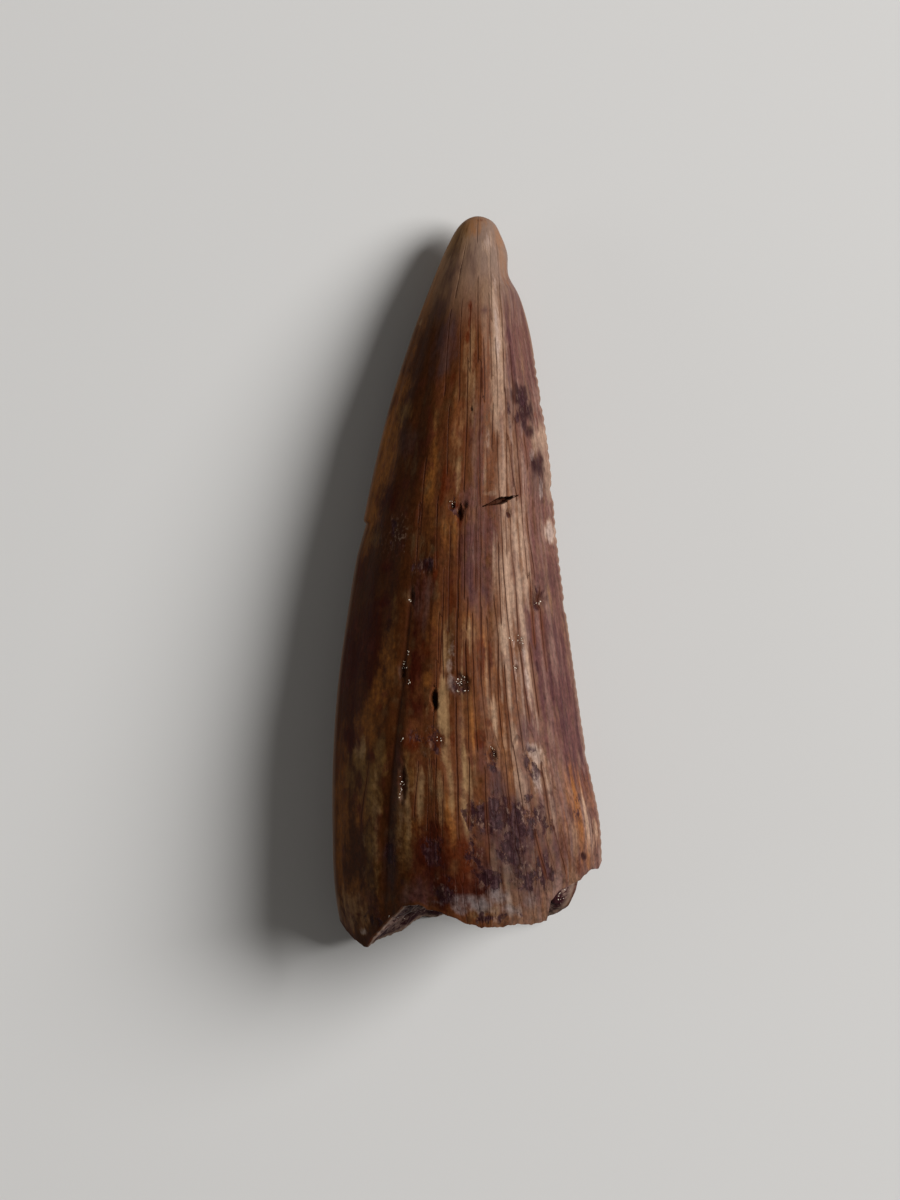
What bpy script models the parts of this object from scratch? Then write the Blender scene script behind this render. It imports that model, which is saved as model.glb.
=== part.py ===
"""Fossil tooth crown of a phytosaur, lying on its back with the bulged face up.

Run it with blender --background --python part.py, or from Blender's text editor.
Lengths are in metres. X runs across the blade, from the smooth edge on the left to
the serrated edge on the right, +Y points to the tip, and +Z is up, away from what
the tooth lies on. The origin is under the middle of the tooth, on that surface.

The crown is one solid. Four outlines, read outwards from an axis through the tip,
shape it: the left and right edges, the bulged face and the flatter back. It ends at
a break whose line differs on the face and on the back.
"""

import math

import bmesh
import bpy
import numpy as np
from mathutils import Matrix, Vector, noise

MM = 0.001

# The crown's length, and the height of the tip's axis above the surface
CROWN_LENGTH = 26.0 * MM
TIP_AXIS_X = 0.37 * MM
TIP_AXIS_Z = 1.3 * MM

# Each outline is a list of (distance from the tip, reach from the tip's axis) in mm
LEFT_EDGE = (
    (0, 0), (0.2, 0.51), (1.05, 1.07), (2.35, 1.62), (4.4, 2.4), (7.3, 3.29),
    (10.1, 3.93), (13.7, 4.57), (17.2, 5.03), (21.5, 5.18), (24.4, 5.03), (26, 4.7),
)
RIGHT_EDGE = (
    (0, 0), (0.2, 0.53), (0.65, 0.8), (1.3, 1.04), (2.2, 1.12), (2.8, 1.45),
    (3.7, 1.75), (5.8, 2.14), (8.7, 2.57), (11.5, 2.82), (15.1, 3.28),
    (19.4, 3.92), (21.9, 4.38), (23.1, 4.42), (26, 4.4),
)
FACE = (
    (0, 0), (0.2, 0.45), (0.65, 0.72), (1.5, 1.08), (3, 1.7), (6, 2.45),
    (13, 3.45), (20, 4.2), (26, 4.5),
)
BACK = (
    (0, 0), (0.2, 0.4), (0.65, 0.62), (1.5, 0.83), (3, 0.98), (6, 1.13),
    (11, 1.3), (17.5, 1.44), (24, 1.3), (26, 1.22),
)
# Height of the two edges above the surface, against the distance from the tip, in mm
EDGE_HEIGHT = ((0, 1.3), (3, 1.5), (6, 1.65), (13, 1.85), (26, 2.2))

# Keel that stands out along each edge below the worn tip
RIGHT_KEEL = 0.42 * MM
LEFT_KEEL = 0.14 * MM
KEEL_SPREAD = math.radians(32)
KEEL_START = 2.6 * MM
KEEL_FADE = 1.6 * MM

# Low lengthwise ridges, and the gentle unevenness of the enamel
RIDGES_AROUND = 18
RIDGE_HEIGHT = 0.035 * MM
RIDGE_START = 7 * MM
WAVE_HEIGHT = 0.06 * MM
WAVE_LENGTH = 2.5 * MM

# The broken base: (x, height above the lowest point) in mm, on the face and the back
FACE_BREAK = (
    (-4.85, 2.2), (-4.74, 1.9), (-4.56, 0.95), (-4.31, 0.6), (-4.1, 0.36), (-3.63, 0),
    (-3.35, 0.43), (-2.92, 0.93), (-2.42, 1.35), (-2.3, 1.53), (-1.74, 1.55), (-1.42, 1.42),
    (-0.89, 1.28), (-0.14, 0.93), (0.46, 0.78), (1.17, 0.76), (1.71, 0.89), (2.24, 0.85),
    (2.8, 1.0), (2.95, 1.7), (3.31, 2.08), (3.88, 2.35), (4.4, 2.75), (4.65, 2.8), (4.8, 3.1),
)
BACK_BREAK = (
    (-4.85, 2.2), (-4.74, 1.9), (-4.56, 0.95), (-4.31, 0.6), (-4.1, 0.36), (-3.63, 0),
    (-3.24, 0.21), (-2.39, 0.53), (-1.96, 0.85), (-1.67, 1.02), (-1.07, 1.0), (-0.3, 1.35),
    (1.0, 1.45), (2.2, 1.2), (2.85, 1.0), (3.17, 1.14), (3.6, 1.42), (3.85, 1.95),
    (3.95, 2.4), (4.4, 2.75), (4.65, 2.8), (4.8, 3.1),
)
# The break is rough, and dished up to this height above its lowest point
DISH_FLOOR = 2.1 * MM
BREAK_ROUGHNESS = 0.6 * MM
BREAK_GRAIN = 1.3 * MM

# Small teeth of the right edge, sawn as notches between them
SERRATION_PITCH = 0.34 * MM
SERRATION_DEPTH = 0.085 * MM
SERRATION_FIRST = 3.6 * MM
SERRATION_LAST = 22.6 * MM

# Furrow down the left of the face: (x, distance from the tip) in mm
FURROW = ((-1.96, 12.6), (-2.1, 14.2), (-2.3, 16.2), (-2.55, 18.6), (-2.8, 21), (-2.95, 23.6))
FURROW_RADIUS = 0.16 * MM
FURROW_TAPER = 0.35

# Gaping cross crack: middle, size and slope
CRACK_X = 1.16 * MM
CRACK_FROM_TIP = 10.16 * MM
CRACK_LENGTH = 1.3 * MM
CRACK_WIDTH = 0.22 * MM
CRACK_DEPTH = 0.6 * MM
CRACK_SLOPE = math.radians(16)

# Pits in the face: (x, distance from the tip, half width, half length) in mm
PITS = (
    (-0.22, 16.6, 0.34, 0.3), (-1.18, 17.2, 0.17, 0.36), (2.45, 13.65, 0.3, 0.26),
    (-1.55, 12.55, 0.26, 0.24), (0.88, 19.2, 0.2, 0.3), (-0.33, 10.35, 0.16, 0.28),
)
PIT_DEPTH_SHARE = 0.7

# Chip out of the left edge, a step on its tip side that runs out towards the base
CHIP_FROM_TIP = 10.9 * MM
CHIP_LENGTH = 1.25 * MM
CHIP_DEPTH = 0.13 * MM

# How finely the crown is divided
AROUND = 64
WALL_ROWS = 44
BREAK_RINGS = 7
TIP_CROWDING = 0.1

ENAMEL_COLOUR = (0.21, 0.12, 0.07, 1.0)
ENAMEL_ROUGHNESS = 0.42


def smooth_through(points, at):
    """Value at one position of the smooth curve through (position, value) points."""
    places, values = np.array(points, float).T
    slopes = np.gradient(values, places)
    last = len(places) - 2
    i = min(max(int(np.searchsorted(places, at)) - 1, 0), last)
    span = places[i + 1] - places[i]
    t = min(max((at - places[i]) / span, 0.0), 1.0)
    rise = values[i + 1] - values[i]
    start, end = slopes[i] * span, slopes[i + 1] * span
    return values[i] + t * (start + t * (3 * rise - 2 * start - end + t * (start + end - 2 * rise)))


def reach(outline, from_tip):
    """Reach of an outline from the tip's axis. Its square is smooth even at the round tip."""
    squares = [(distance, value * value) for distance, value in outline]
    return math.sqrt(max(smooth_through(squares, from_tip / MM), 0.0)) * MM


def section(from_tip):
    """Middle x, half width, edge height, rise of the face and drop of the back, at one distance."""
    left = TIP_AXIS_X - reach(LEFT_EDGE, from_tip)
    right = TIP_AXIS_X + reach(RIGHT_EDGE, from_tip)
    top = TIP_AXIS_Z + reach(FACE, from_tip)
    bottom = TIP_AXIS_Z - reach(BACK, from_tip)
    edge = smooth_through(EDGE_HEIGHT, from_tip / MM) * MM
    return (left + right) / 2, (right - left) / 2, edge, top - edge, edge - bottom


def keel_share(from_tip):
    """0 on the worn tip and 1 where the keels stand full."""
    return min(max((from_tip - KEEL_START) / KEEL_FADE, 0.0), 1.0)


def relief(angle, from_tip):
    """How far the enamel stands out from the plain section: ridges and gentle waves."""
    grown = min(from_tip / RIDGE_START, 1.0) ** 1.5
    wander = noise.noise(Vector((from_tip / (8 * MM), 3.7, 0.0)))
    ridges = RIDGE_HEIGHT * math.cos(RIDGES_AROUND * angle + 2.5 * wander)
    around = Vector((math.cos(angle), math.sin(angle), 0.0)) * 2.0
    wave = noise.noise(around + Vector((0.0, 0.0, from_tip / WAVE_LENGTH)))
    return (ridges + WAVE_HEIGHT * wave) * grown


def wall_point(angle, from_tip):
    """Point of the crown's outside. The angle is 0 on the right edge and 90 degrees on the face."""
    middle, half_width, edge, rise, drop = section(from_tip)
    across, up = math.cos(angle), math.sin(angle)
    keel_height = (RIGHT_KEEL if across > 0 else LEFT_KEEL) * keel_share(from_tip)
    off_edge = math.asin(min(abs(up), 1.0))
    keel = keel_height * max(1.0 - off_edge / KEEL_SPREAD, 0.0) ** 2.5
    body = half_width - keel_height
    out = relief(angle, from_tip) * min(1.0, abs(up) * 3)
    x = middle + across * (body + keel + out)
    z = edge + up * ((rise if up > 0 else drop) + out)
    return Vector((x, CROWN_LENGTH - from_tip, max(z, 0.0)))


def break_height(x, side):
    """Height of the broken rim at x, on the face where side is 1 and on the back where it is -1."""
    line = FACE_BREAK if side > 0 else BACK_BREAK
    return float(np.interp(x / MM, *zip(*line))) * MM


def rim_from_tip(angle):
    """Distance from the tip at which the wall ends in the break, at one angle."""
    from_tip = CROWN_LENGTH
    for _ in range(4):
        from_tip = CROWN_LENGTH - break_height(wall_point(angle, from_tip).x, math.sin(angle))
    return from_tip


def break_point(angle, inward):
    """Point of the broken base. inward is 0 on the rim and 1 in the middle."""
    rim = wall_point(angle, rim_from_tip(angle))
    middle, _, edge, rise, drop = section(CROWN_LENGTH - DISH_FLOOR)
    heart = Vector((middle, DISH_FLOOR, edge + (rise - drop) * 0.35))
    point = rim.lerp(heart, inward)
    sunk = 1 - (1 - inward) ** 2
    grain = noise.noise(Vector((point.x, 0.0, point.z)) / BREAK_GRAIN)
    rough = BREAK_ROUGHNESS * grain * math.sin(inward * math.pi)
    point.y = rim.y + (heart.y - rim.y) * sunk + rough
    return point


def spaced_from_tip(row):
    """Share of the wall's length at a row, with the rows crowded where the tip is round."""
    share = row / WALL_ROWS
    return share * share * (1 + TIP_CROWDING) / (share + TIP_CROWDING)


def tooth_point(direction):
    """Where a point of the unit sphere goes: its +Z pole to the tip and its -Z pole to the break."""
    rows = WALL_ROWS + BREAK_RINGS
    row = round(math.acos(max(-1.0, min(1.0, direction.z))) / math.pi * rows)
    angle = math.atan2(-direction.y, direction.x)
    if row <= WALL_ROWS:
        return wall_point(angle, spaced_from_tip(row) * rim_from_tip(angle))
    return break_point(angle, (row - WALL_ROWS) / BREAK_RINGS)


def object_from(bm, name, collection, is_cutter=False):
    """A mesh object in a collection. A cutter isn't rendered."""
    mesh = bpy.data.meshes.new(name)
    bm.to_mesh(mesh)
    bm.free()
    obj = bpy.data.objects.new(name, mesh)
    collection.objects.link(obj)
    if is_cutter:
        obj.hide_render = True
        obj.display_type = "WIRE"
    return obj


def make_crown(collection):
    """The whole tooth before its small damage, reshaped from a sphere."""
    bm = bmesh.new()
    bmesh.ops.create_uvsphere(bm, u_segments=AROUND, v_segments=WALL_ROWS + BREAK_RINGS, radius=1.0)
    for vert in bm.verts:
        vert.co = tooth_point(vert.co)
    bmesh.ops.recalc_face_normals(bm, faces=bm.faces)
    return object_from(bm, "tooth", collection)


def face_point(x, from_tip):
    """Point of the bulged face above an x, without its relief."""
    middle, half_width, edge, rise, _ = section(from_tip)
    share = max(min((x - middle) / half_width, 1.0), -1.0)
    return Vector((x, CROWN_LENGTH - from_tip, edge + rise * math.sqrt(1 - share * share)))


def face_turn(x, from_tip):
    """Rotation that takes +Z to the face's outward normal above an x."""
    step = 0.05 * MM
    along = face_point(x, from_tip - step) - face_point(x, from_tip + step)
    across = face_point(x + step, from_tip) - face_point(x - step, from_tip)
    return across.cross(along).to_track_quat("Z", "Y").to_matrix().to_4x4()


def serration_cutter(collection):
    """A row of square bars across the right keel, standing on their corners."""
    bm = bmesh.new()
    bar = SERRATION_DEPTH * math.sqrt(2)
    bar_height = 1.4 * MM
    count = int((SERRATION_LAST - SERRATION_FIRST) / SERRATION_PITCH)
    for i in range(count):
        place = wall_point(0.0, SERRATION_FIRST + i * SERRATION_PITCH)
        placed = (
            Matrix.Translation(place)
            @ Matrix.Rotation(math.radians(45), 4, "Z")
            @ Matrix.Diagonal((bar, bar, bar_height, 1.0))
        )
        bmesh.ops.create_cube(bm, size=1.0, matrix=placed)
    return object_from(bm, "serration_cutter", collection, is_cutter=True)


def pit_cutter(collection):
    """A flattened ball sunk in the face for each pit."""
    bm = bmesh.new()
    for x, from_tip, half_width, half_length in PITS:
        place = face_point(x * MM, from_tip * MM)
        depth = min(half_width, half_length) * PIT_DEPTH_SHARE
        placed = (
            Matrix.Translation(place)
            @ face_turn(x * MM, from_tip * MM)
            @ Matrix.Diagonal((half_width * MM, half_length * MM, depth * MM, 1.0))
        )
        bmesh.ops.create_uvsphere(bm, u_segments=9, v_segments=6, radius=1.0, matrix=placed)
    return object_from(bm, "pit_cutter", collection, is_cutter=True)


def crack_cutter(collection):
    """A ball drawn out to a thin lens, with its poles at the crack's two ends."""
    bm = bmesh.new()
    placed = (
        Matrix.Translation(face_point(CRACK_X, CRACK_FROM_TIP))
        @ face_turn(CRACK_X, CRACK_FROM_TIP)
        @ Matrix.Rotation(CRACK_SLOPE, 4, "Z")
        @ Matrix.Diagonal((CRACK_LENGTH / 2, CRACK_WIDTH / 2, CRACK_DEPTH, 1.0))
        @ Matrix.Rotation(math.radians(90), 4, "Y")
    )
    bmesh.ops.create_uvsphere(bm, u_segments=8, v_segments=8, radius=1.0, matrix=placed)
    return object_from(bm, "crack_cutter", collection, is_cutter=True)


def chip_cutter(collection):
    """A wedge-ended block against the left edge, deepest at its tip side."""
    bm = bmesh.new()
    edge = wall_point(math.pi, CHIP_FROM_TIP)
    block = 1.0 * MM
    lean = math.atan2(CHIP_DEPTH, CHIP_LENGTH) + math.radians(10)
    placed = (
        Matrix.Translation(edge + Vector((CHIP_DEPTH, 0.0, 0.0)))
        @ Matrix.Rotation(-lean, 4, "Z")
        @ Matrix.Translation(Vector((-block / 2, -CHIP_LENGTH, 0.0)))
        @ Matrix.Diagonal((block, 2 * CHIP_LENGTH, 3 * block, 1.0))
    )
    bmesh.ops.create_cube(bm, size=1.0, matrix=placed)
    return object_from(bm, "chip_cutter", collection, is_cutter=True)


def furrow_cutter(collection):
    """A tapered tube laid along the furrow, half sunk in the face, as a mesh."""
    curve = bpy.data.curves.new("furrow_path", "CURVE")
    curve.dimensions = "3D"
    curve.bevel_depth = FURROW_RADIUS
    curve.bevel_resolution = 1
    curve.use_fill_caps = True
    first, last = FURROW[0][1], FURROW[-1][1]
    steps = 22
    spline = curve.splines.new("POLY")
    spline.points.add(steps)
    for i, point in enumerate(spline.points):
        from_tip = first + (last - first) * i / steps
        x = smooth_through([(distance, across) for across, distance in FURROW], from_tip)
        point.co = (*face_point(x * MM, from_tip * MM), 1.0)
        end = min(i, steps - i) / (steps * 0.2)
        point.radius = FURROW_TAPER + (1 - FURROW_TAPER) * min(end, 1.0)
    tube = bpy.data.objects.new("furrow_path", curve)
    collection.objects.link(tube)
    bpy.context.view_layer.update()
    graph = bpy.context.evaluated_depsgraph_get()
    mesh = bpy.data.meshes.new_from_object(tube.evaluated_get(graph))
    bpy.data.objects.remove(tube)
    bm = bmesh.new()
    bm.from_mesh(mesh)
    bmesh.ops.remove_doubles(bm, verts=bm.verts, dist=0.001 * MM)
    bmesh.ops.recalc_face_normals(bm, faces=bm.faces)
    return object_from(bm, "furrow_cutter", collection, is_cutter=True)


def cut(target, cutter):
    """Takes the cutter's shape out of the target."""
    modifier = target.modifiers.new(cutter.name, "BOOLEAN")
    modifier.operation = "DIFFERENCE"
    modifier.object = cutter


def enamel_material():
    """Stained brown enamel, polished by handling."""
    material = bpy.data.materials.new("stained_enamel")
    material.use_nodes = True
    shader = material.node_tree.nodes["Principled BSDF"]
    shader.inputs["Base Color"].default_value = ENAMEL_COLOUR
    shader.inputs["Roughness"].default_value = ENAMEL_ROUGHNESS
    shader.inputs["Metallic"].default_value = 0.0
    return material


def centre_on_surface(objects, measured):
    """Moves objects so that the measured one's box is centred on the origin, standing on Z 0."""
    corners = [vert.co for vert in measured.data.vertices]
    low = Vector(min(corner[axis] for corner in corners) for axis in range(3))
    high = Vector(max(corner[axis] for corner in corners) for axis in range(3))
    shift = Matrix.Translation(-Vector(((low.x + high.x) / 2, (low.y + high.y) / 2, low.z)))
    for obj in objects:
        obj.data.transform(shift)


def new_collection(name):
    collection = bpy.data.collections.new(name)
    bpy.context.scene.collection.children.link(collection)
    return collection


def main():
    for obj in list(bpy.data.objects):
        bpy.data.objects.remove(obj, do_unlink=True)
    tooth = new_collection("fossil_tooth")
    cutters = new_collection("cutters")
    crown = make_crown(tooth)
    makers = (furrow_cutter, pit_cutter, crack_cutter, chip_cutter, serration_cutter)
    tools = [make(cutters) for make in makers]
    for tool in tools:
        cut(crown, tool)
    centre_on_surface([crown, *tools], crown)
    crown.data.materials.append(enamel_material())
    crown.data.shade_smooth()
    crown.data.set_sharp_from_angle(angle=math.radians(35))


main()
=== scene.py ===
import math

import bmesh
import bpy
import numpy as np
from mathutils import Matrix, Vector, noise
from mathutils.bvhtree import BVHTree


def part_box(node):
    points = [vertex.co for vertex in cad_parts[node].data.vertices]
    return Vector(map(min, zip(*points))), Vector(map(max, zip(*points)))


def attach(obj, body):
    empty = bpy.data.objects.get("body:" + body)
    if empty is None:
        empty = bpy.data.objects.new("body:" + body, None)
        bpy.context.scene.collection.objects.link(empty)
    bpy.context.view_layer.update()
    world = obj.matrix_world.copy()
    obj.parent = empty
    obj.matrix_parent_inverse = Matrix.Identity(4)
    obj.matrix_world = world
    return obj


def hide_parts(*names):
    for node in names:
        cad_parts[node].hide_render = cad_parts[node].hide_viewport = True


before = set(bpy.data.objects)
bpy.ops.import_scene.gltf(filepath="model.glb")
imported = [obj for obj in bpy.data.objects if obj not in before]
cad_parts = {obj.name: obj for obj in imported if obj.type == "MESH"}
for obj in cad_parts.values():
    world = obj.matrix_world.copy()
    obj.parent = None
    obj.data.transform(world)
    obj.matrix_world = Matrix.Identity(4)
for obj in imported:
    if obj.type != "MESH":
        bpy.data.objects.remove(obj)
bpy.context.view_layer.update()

# The tooth. One fossil crown of mineralised enamel and dentine that grew as a single
# piece and broke off its root: a flattened, curved cone with a finely serrated right
# edge, worn at the tip, stained by the ground it lay in and cracked along its length.
MM = 0.001
tooth_low, tooth_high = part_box("tooth")
LENGTH = (tooth_high.y - tooth_low.y) / MM

# Outlines in mm: (distance from the tip, reach from an axis through the tip)
TIP_X, TIP_Z = 0.37, 1.3
LEFT_EDGE = (
    (0, 0), (0.2, 0.51), (1.05, 1.07), (2.35, 1.62), (4.4, 2.4), (7.3, 3.29),
    (10.1, 3.93), (13.7, 4.57), (17.2, 5.03), (21.5, 5.18), (24.4, 5.03), (26, 4.7),
)
RIGHT_EDGE = (
    (0, 0), (0.2, 0.53), (0.65, 0.8), (1.3, 1.04), (2.2, 1.12), (2.8, 1.45),
    (3.7, 1.75), (5.8, 2.14), (8.7, 2.57), (11.5, 2.82), (15.1, 3.28),
    (19.4, 3.92), (21.9, 4.38), (23.1, 4.42), (26, 4.4),
)
FACE = (
    (0, 0), (0.2, 0.45), (0.65, 0.72), (1.5, 1.08), (3, 1.7), (6, 2.45),
    (13, 3.45), (20, 4.2), (26, 4.5),
)
BACK = (
    (0, 0), (0.2, 0.4), (0.65, 0.62), (1.5, 0.83), (3, 0.98), (6, 1.13),
    (11, 1.3), (17.5, 1.44), (24, 1.3), (26, 1.22),
)
EDGE_HEIGHT = ((0, 1.3), (3, 1.5), (6, 1.65), (13, 1.85), (26, 2.2))
RIGHT_KEEL, LEFT_KEEL = 0.42, 0.14
KEEL_SPREAD = math.radians(32)
KEEL_SHARPNESS = 2.5
KEEL_START, KEEL_FADE = 2.6, 1.6

# Guides of the grain, which run on straight past the worn tip: (distance from the tip, reach)
GRAIN_LEFT = (
    (0, 0.78), (4.4, 2.4), (7.3, 3.29), (10.1, 3.93), (13.7, 4.57), (17.2, 5.03),
    (21.5, 5.2), (26, 5.2),
)
GRAIN_RIGHT = ((0, 0.8), (5.8, 2.14), (11.5, 2.82), (15.1, 3.28), (19.4, 3.92), (26, 4.8))

# The broken rim in mm: (x, height above the lowest point), on the face and on the back
FACE_BREAK = (
    (-4.85, 2.2), (-4.74, 1.9), (-4.56, 0.95), (-4.31, 0.6), (-4.1, 0.36), (-3.63, 0),
    (-3.35, 0.43), (-2.92, 0.93), (-2.42, 1.35), (-2.3, 1.53), (-1.74, 1.55), (-1.42, 1.42),
    (-0.89, 1.28), (-0.14, 0.93), (0.46, 0.78), (1.17, 0.76), (1.71, 0.89), (2.24, 0.85),
    (2.8, 1.0), (2.95, 1.7), (3.31, 2.08), (3.88, 2.35), (4.4, 2.75), (4.65, 2.8), (4.8, 3.1),
)
BACK_BREAK = (
    (-4.85, 2.2), (-4.74, 1.9), (-4.56, 0.95), (-4.31, 0.6), (-4.1, 0.36), (-3.63, 0),
    (-3.24, 0.21), (-2.39, 0.53), (-1.96, 0.85), (-1.67, 1.02), (-1.07, 1.0), (-0.3, 1.35),
    (1.0, 1.45), (2.2, 1.2), (2.85, 1.0), (3.17, 1.14), (3.6, 1.42), (3.85, 1.95),
    (3.95, 2.4), (4.4, 2.75), (4.65, 2.8), (4.8, 3.1),
)
# Chips along the rim in mm: (depth, length)
RIM_CHIPS = ((0.05, 0.3), (0.03, 0.11))
ENAMEL_THICKNESS = 0.13
# The dish of the break, and its lumps in mm: (height, width, seed of the noise)
DISH_FLOOR = 2.1
DISH_HEIGHT_SHARE = 0.35
DISH_LUMPS = ((0.55, 1.3, 0), (0.22, 0.5, 7), (0.09, 0.2, 3))
DISH_GRAIN_HEIGHT, DISH_GRAIN_WIDTH = 0.05, 0.1

# The sphere that becomes the crown: its divisions, and the rings that become the break
AROUND, ROWS, BREAK_ROWS = 256, 206, 30
WALL_ROWS = ROWS - BREAK_ROWS
TIP_CROWDING = 0.1
FACE_CROWDING = 0.3
# How far the finer mesh reaches round the right edge and into the break
FINE_EDGE_ANGLE, FINE_BREAK_SHARE = math.radians(13), 0.42


def smooth_through(points, at):
    """Values of the smooth curve through (position, value) points, at an array of positions."""
    places, values = np.array(points, float).T
    slopes = np.gradient(values, places)
    i = np.clip(np.searchsorted(places, at) - 1, 0, len(places) - 2)
    span = places[i + 1] - places[i]
    t = np.clip((at - places[i]) / span, 0, 1)
    rise = values[i + 1] - values[i]
    start, end = slopes[i] * span, slopes[i + 1] * span
    return values[i] + t * (start + t * (3 * rise - 2 * start - end + t * (start + end - 2 * rise)))


def reach(outline, from_tip):
    """An outline's reach. Its square is what runs smoothly, so that the tip comes out round."""
    squares = [(distance, value * value) for distance, value in outline]
    return np.sqrt(np.maximum(smooth_through(squares, from_tip), 0))


def ease(low, high, values):
    """0 below low and 1 above high, smooth between. low may be the larger one."""
    t = np.clip((values - low) / (high - low), 0, 1)
    return t * t * (3 - 2 * t)


def lumps(places, size, seed=0.0):
    """Smooth noise between -1 and 1 at each place, with lumps of one size or one size an axis."""
    scaled = places / np.array(size, float) + seed
    return np.array([noise.noise(Vector(place)) for place in scaled])


def section(from_tip):
    """Middle x, half width, edge height, rise of the face and drop of the back."""
    left = TIP_X - reach(LEFT_EDGE, from_tip)
    right = TIP_X + reach(RIGHT_EDGE, from_tip)
    edge = smooth_through(EDGE_HEIGHT, from_tip)
    rise = TIP_Z + reach(FACE, from_tip) - edge
    drop = edge - TIP_Z + reach(BACK, from_tip)
    return (left + right) / 2, (right - left) / 2, edge, rise, drop


def wall(angle, from_tip):
    """Places of the plain outside. The angle is 0 on the right edge and 90 degrees on the face."""
    middle, half_width, edge, rise, drop = section(from_tip)
    across, up = np.cos(angle), np.sin(angle)
    grown = np.clip((from_tip - KEEL_START) / KEEL_FADE, 0, 1)
    keel_height = np.where(across > 0, RIGHT_KEEL, LEFT_KEEL) * grown
    off_edge = np.arcsin(np.clip(np.abs(up), 0, 1))
    keel = keel_height * np.clip(1 - off_edge / KEEL_SPREAD, 0, 1) ** KEEL_SHARPNESS
    x = middle + across * (half_width - keel_height + keel)
    z = edge + up * np.where(up > 0, rise, drop)
    return np.stack([x, LENGTH - from_tip, np.maximum(z, 0)], 1)


def fan_at(at_x, from_tip):
    """Place across the grain, about -1 on the left edge and 1 on the right, and its scale in mm."""
    left, right = smooth_through(GRAIN_LEFT, from_tip), smooth_through(GRAIN_RIGHT, from_tip)
    scale = (left + right) / 2
    return (at_x - TIP_X - (right - left) / 2) / scale, scale


def rim_from_tip(angle):
    """Distance from the tip at which the outside ends in the break, found in a few rounds."""
    from_tip = np.full(len(angle), LENGTH)
    for _ in range(4):
        x = wall(angle, from_tip)[:, 0]
        face_rim, back_rim = (np.interp(x, *zip(*line)) for line in (FACE_BREAK, BACK_BREAK))
        from_tip = LENGTH - np.where(np.sin(angle) > 0, face_rim, back_rim)
    round_rim = np.stack([wall(angle, from_tip)[:, 0], np.sin(angle), 0 * angle], 1)
    for depth, length in RIM_CHIPS:
        from_tip = from_tip - depth * lumps(round_rim, length)
    return from_tip


def on_crown(directions):
    """For unit sphere directions: angle, distance from the tip, share of the way into the break."""
    row = np.arccos(np.clip(directions[:, 2], -1, 1)) / np.pi * ROWS
    turn = np.arctan2(-directions[:, 1], directions[:, 0])
    angle = turn + FACE_CROWDING * np.cos(turn)
    share = np.clip(row / WALL_ROWS, 0, 1)
    spaced = share * share * (1 + TIP_CROWDING) / (share + TIP_CROWDING)
    from_tip = spaced * rim_from_tip(angle)
    inward = np.clip((row - WALL_ROWS) / BREAK_ROWS, 0, 1)
    return angle, from_tip, inward


# What broke, wore and opened in the crown, in mm: places are (x, distance from the tip)
SERRATION_PITCH, SERRATION_DEPTH, SERRATION_REACH = 0.335, 0.055, 0.3
SERRATION_FIRST, SERRATION_LAST = 4.6, 23.0
# (from the tip, half length, depth)
EDGE_NICKS = ((6.7, 0.3, 0.05), (9.8, 0.45, 0.07), (13.9, 0.35, 0.06), (19.2, 0.4, 0.05))
FURROW = (
    (12.6, -1.96), (14.2, -2.1), (16.2, -2.3), (18.6, -2.55), (21, -2.8), (24, -2.93),
)
FURROW_WIDTH, FURROW_DEPTH, FURROW_WANDER = 0.36, 0.06, 0.03
CLEFT_WIDTH, CLEFT_SHARE = 0.09, 0.4
CRACK_X, CRACK_FROM_TIP, CRACK_SLOPE = 1.16, 10.16, math.radians(17)
CRACK_LENGTH, CRACK_WIDTH, CRACK_DEPTH = 1.32, 0.23, 0.35
CRACK_END_WIDTH, CRACK_RAGGEDNESS = 0.012, 0.02
CHIP_FROM_TIP, CHIP_LENGTH, CHIP_DEPTH = 10.9, 1.25, 0.13
# (x, from the tip, half width, half length, depth)
PITS = (
    (-0.22, 16.6, 0.33, 0.36, 0.16), (-1.18, 17.2, 0.13, 0.38, 0.34), (2.48, 13.7, 0.3, 0.34, 0.1),
    (-1.5, 12.55, 0.28, 0.28, 0.08), (0.9, 19.15, 0.2, 0.3, 0.12), (-0.55, 10.35, 0.13, 0.13, 0.16),
    (-0.3, 10.55, 0.16, 0.3, 0.2), (-0.1, 10.3, 0.12, 0.12, 0.12), (-1.05, 18.6, 0.3, 0.4, 0.07),
    (1.85, 15.2, 0.14, 0.3, 0.09), (1.72, 16.1, 0.1, 0.2, 0.09), (1.46, 10.55, 0.12, 0.12, 0.1),
    (-2.32, 16.2, 0.14, 0.4, 0.12), (-2.3, 20.1, 0.15, 0.7, 0.12), (-2, 13.6, 0.1, 0.25, 0.08),
    (0.14, 6.9, 0.06, 0.06, 0.08), (4.1, 22.7, 0.1, 0.12, 0.06),
)


def near_damage(x, from_tip, angle, inward):
    """True where the mesh needs to be finer: the serrated edge, the break, the cracks and pits."""
    face = np.sin(angle) > 0
    near = (np.abs(angle) < FINE_EDGE_ANGLE) & (from_tip > SERRATION_FIRST - 0.5) & (inward == 0)
    near |= (inward > 0) & (inward < FINE_BREAK_SHARE)
    near |= face & (np.abs(x - smooth_through(FURROW, from_tip)) < 0.26) & (from_tip > 12.4)
    near |= face & (np.hypot(x - CRACK_X, (from_tip - CRACK_FROM_TIP) * 1.6) < 0.8)
    cracked = (x > 0.04 * from_tip - 0.7) & (x < 0.09 * from_tip + 1.3)
    near |= face & cracked & (from_tip > 6.5) & (from_tip < 23.5)
    near |= (np.cos(angle) < -0.97) & (np.abs(from_tip - CHIP_FROM_TIP) < 0.35)
    for pit_x, pit_from_tip, half_width, half_length, _ in PITS:
        away = np.hypot((x - pit_x) / half_width, (from_tip - pit_from_tip) / half_length)
        near |= face & (away < 1.3)
    return near


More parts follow.
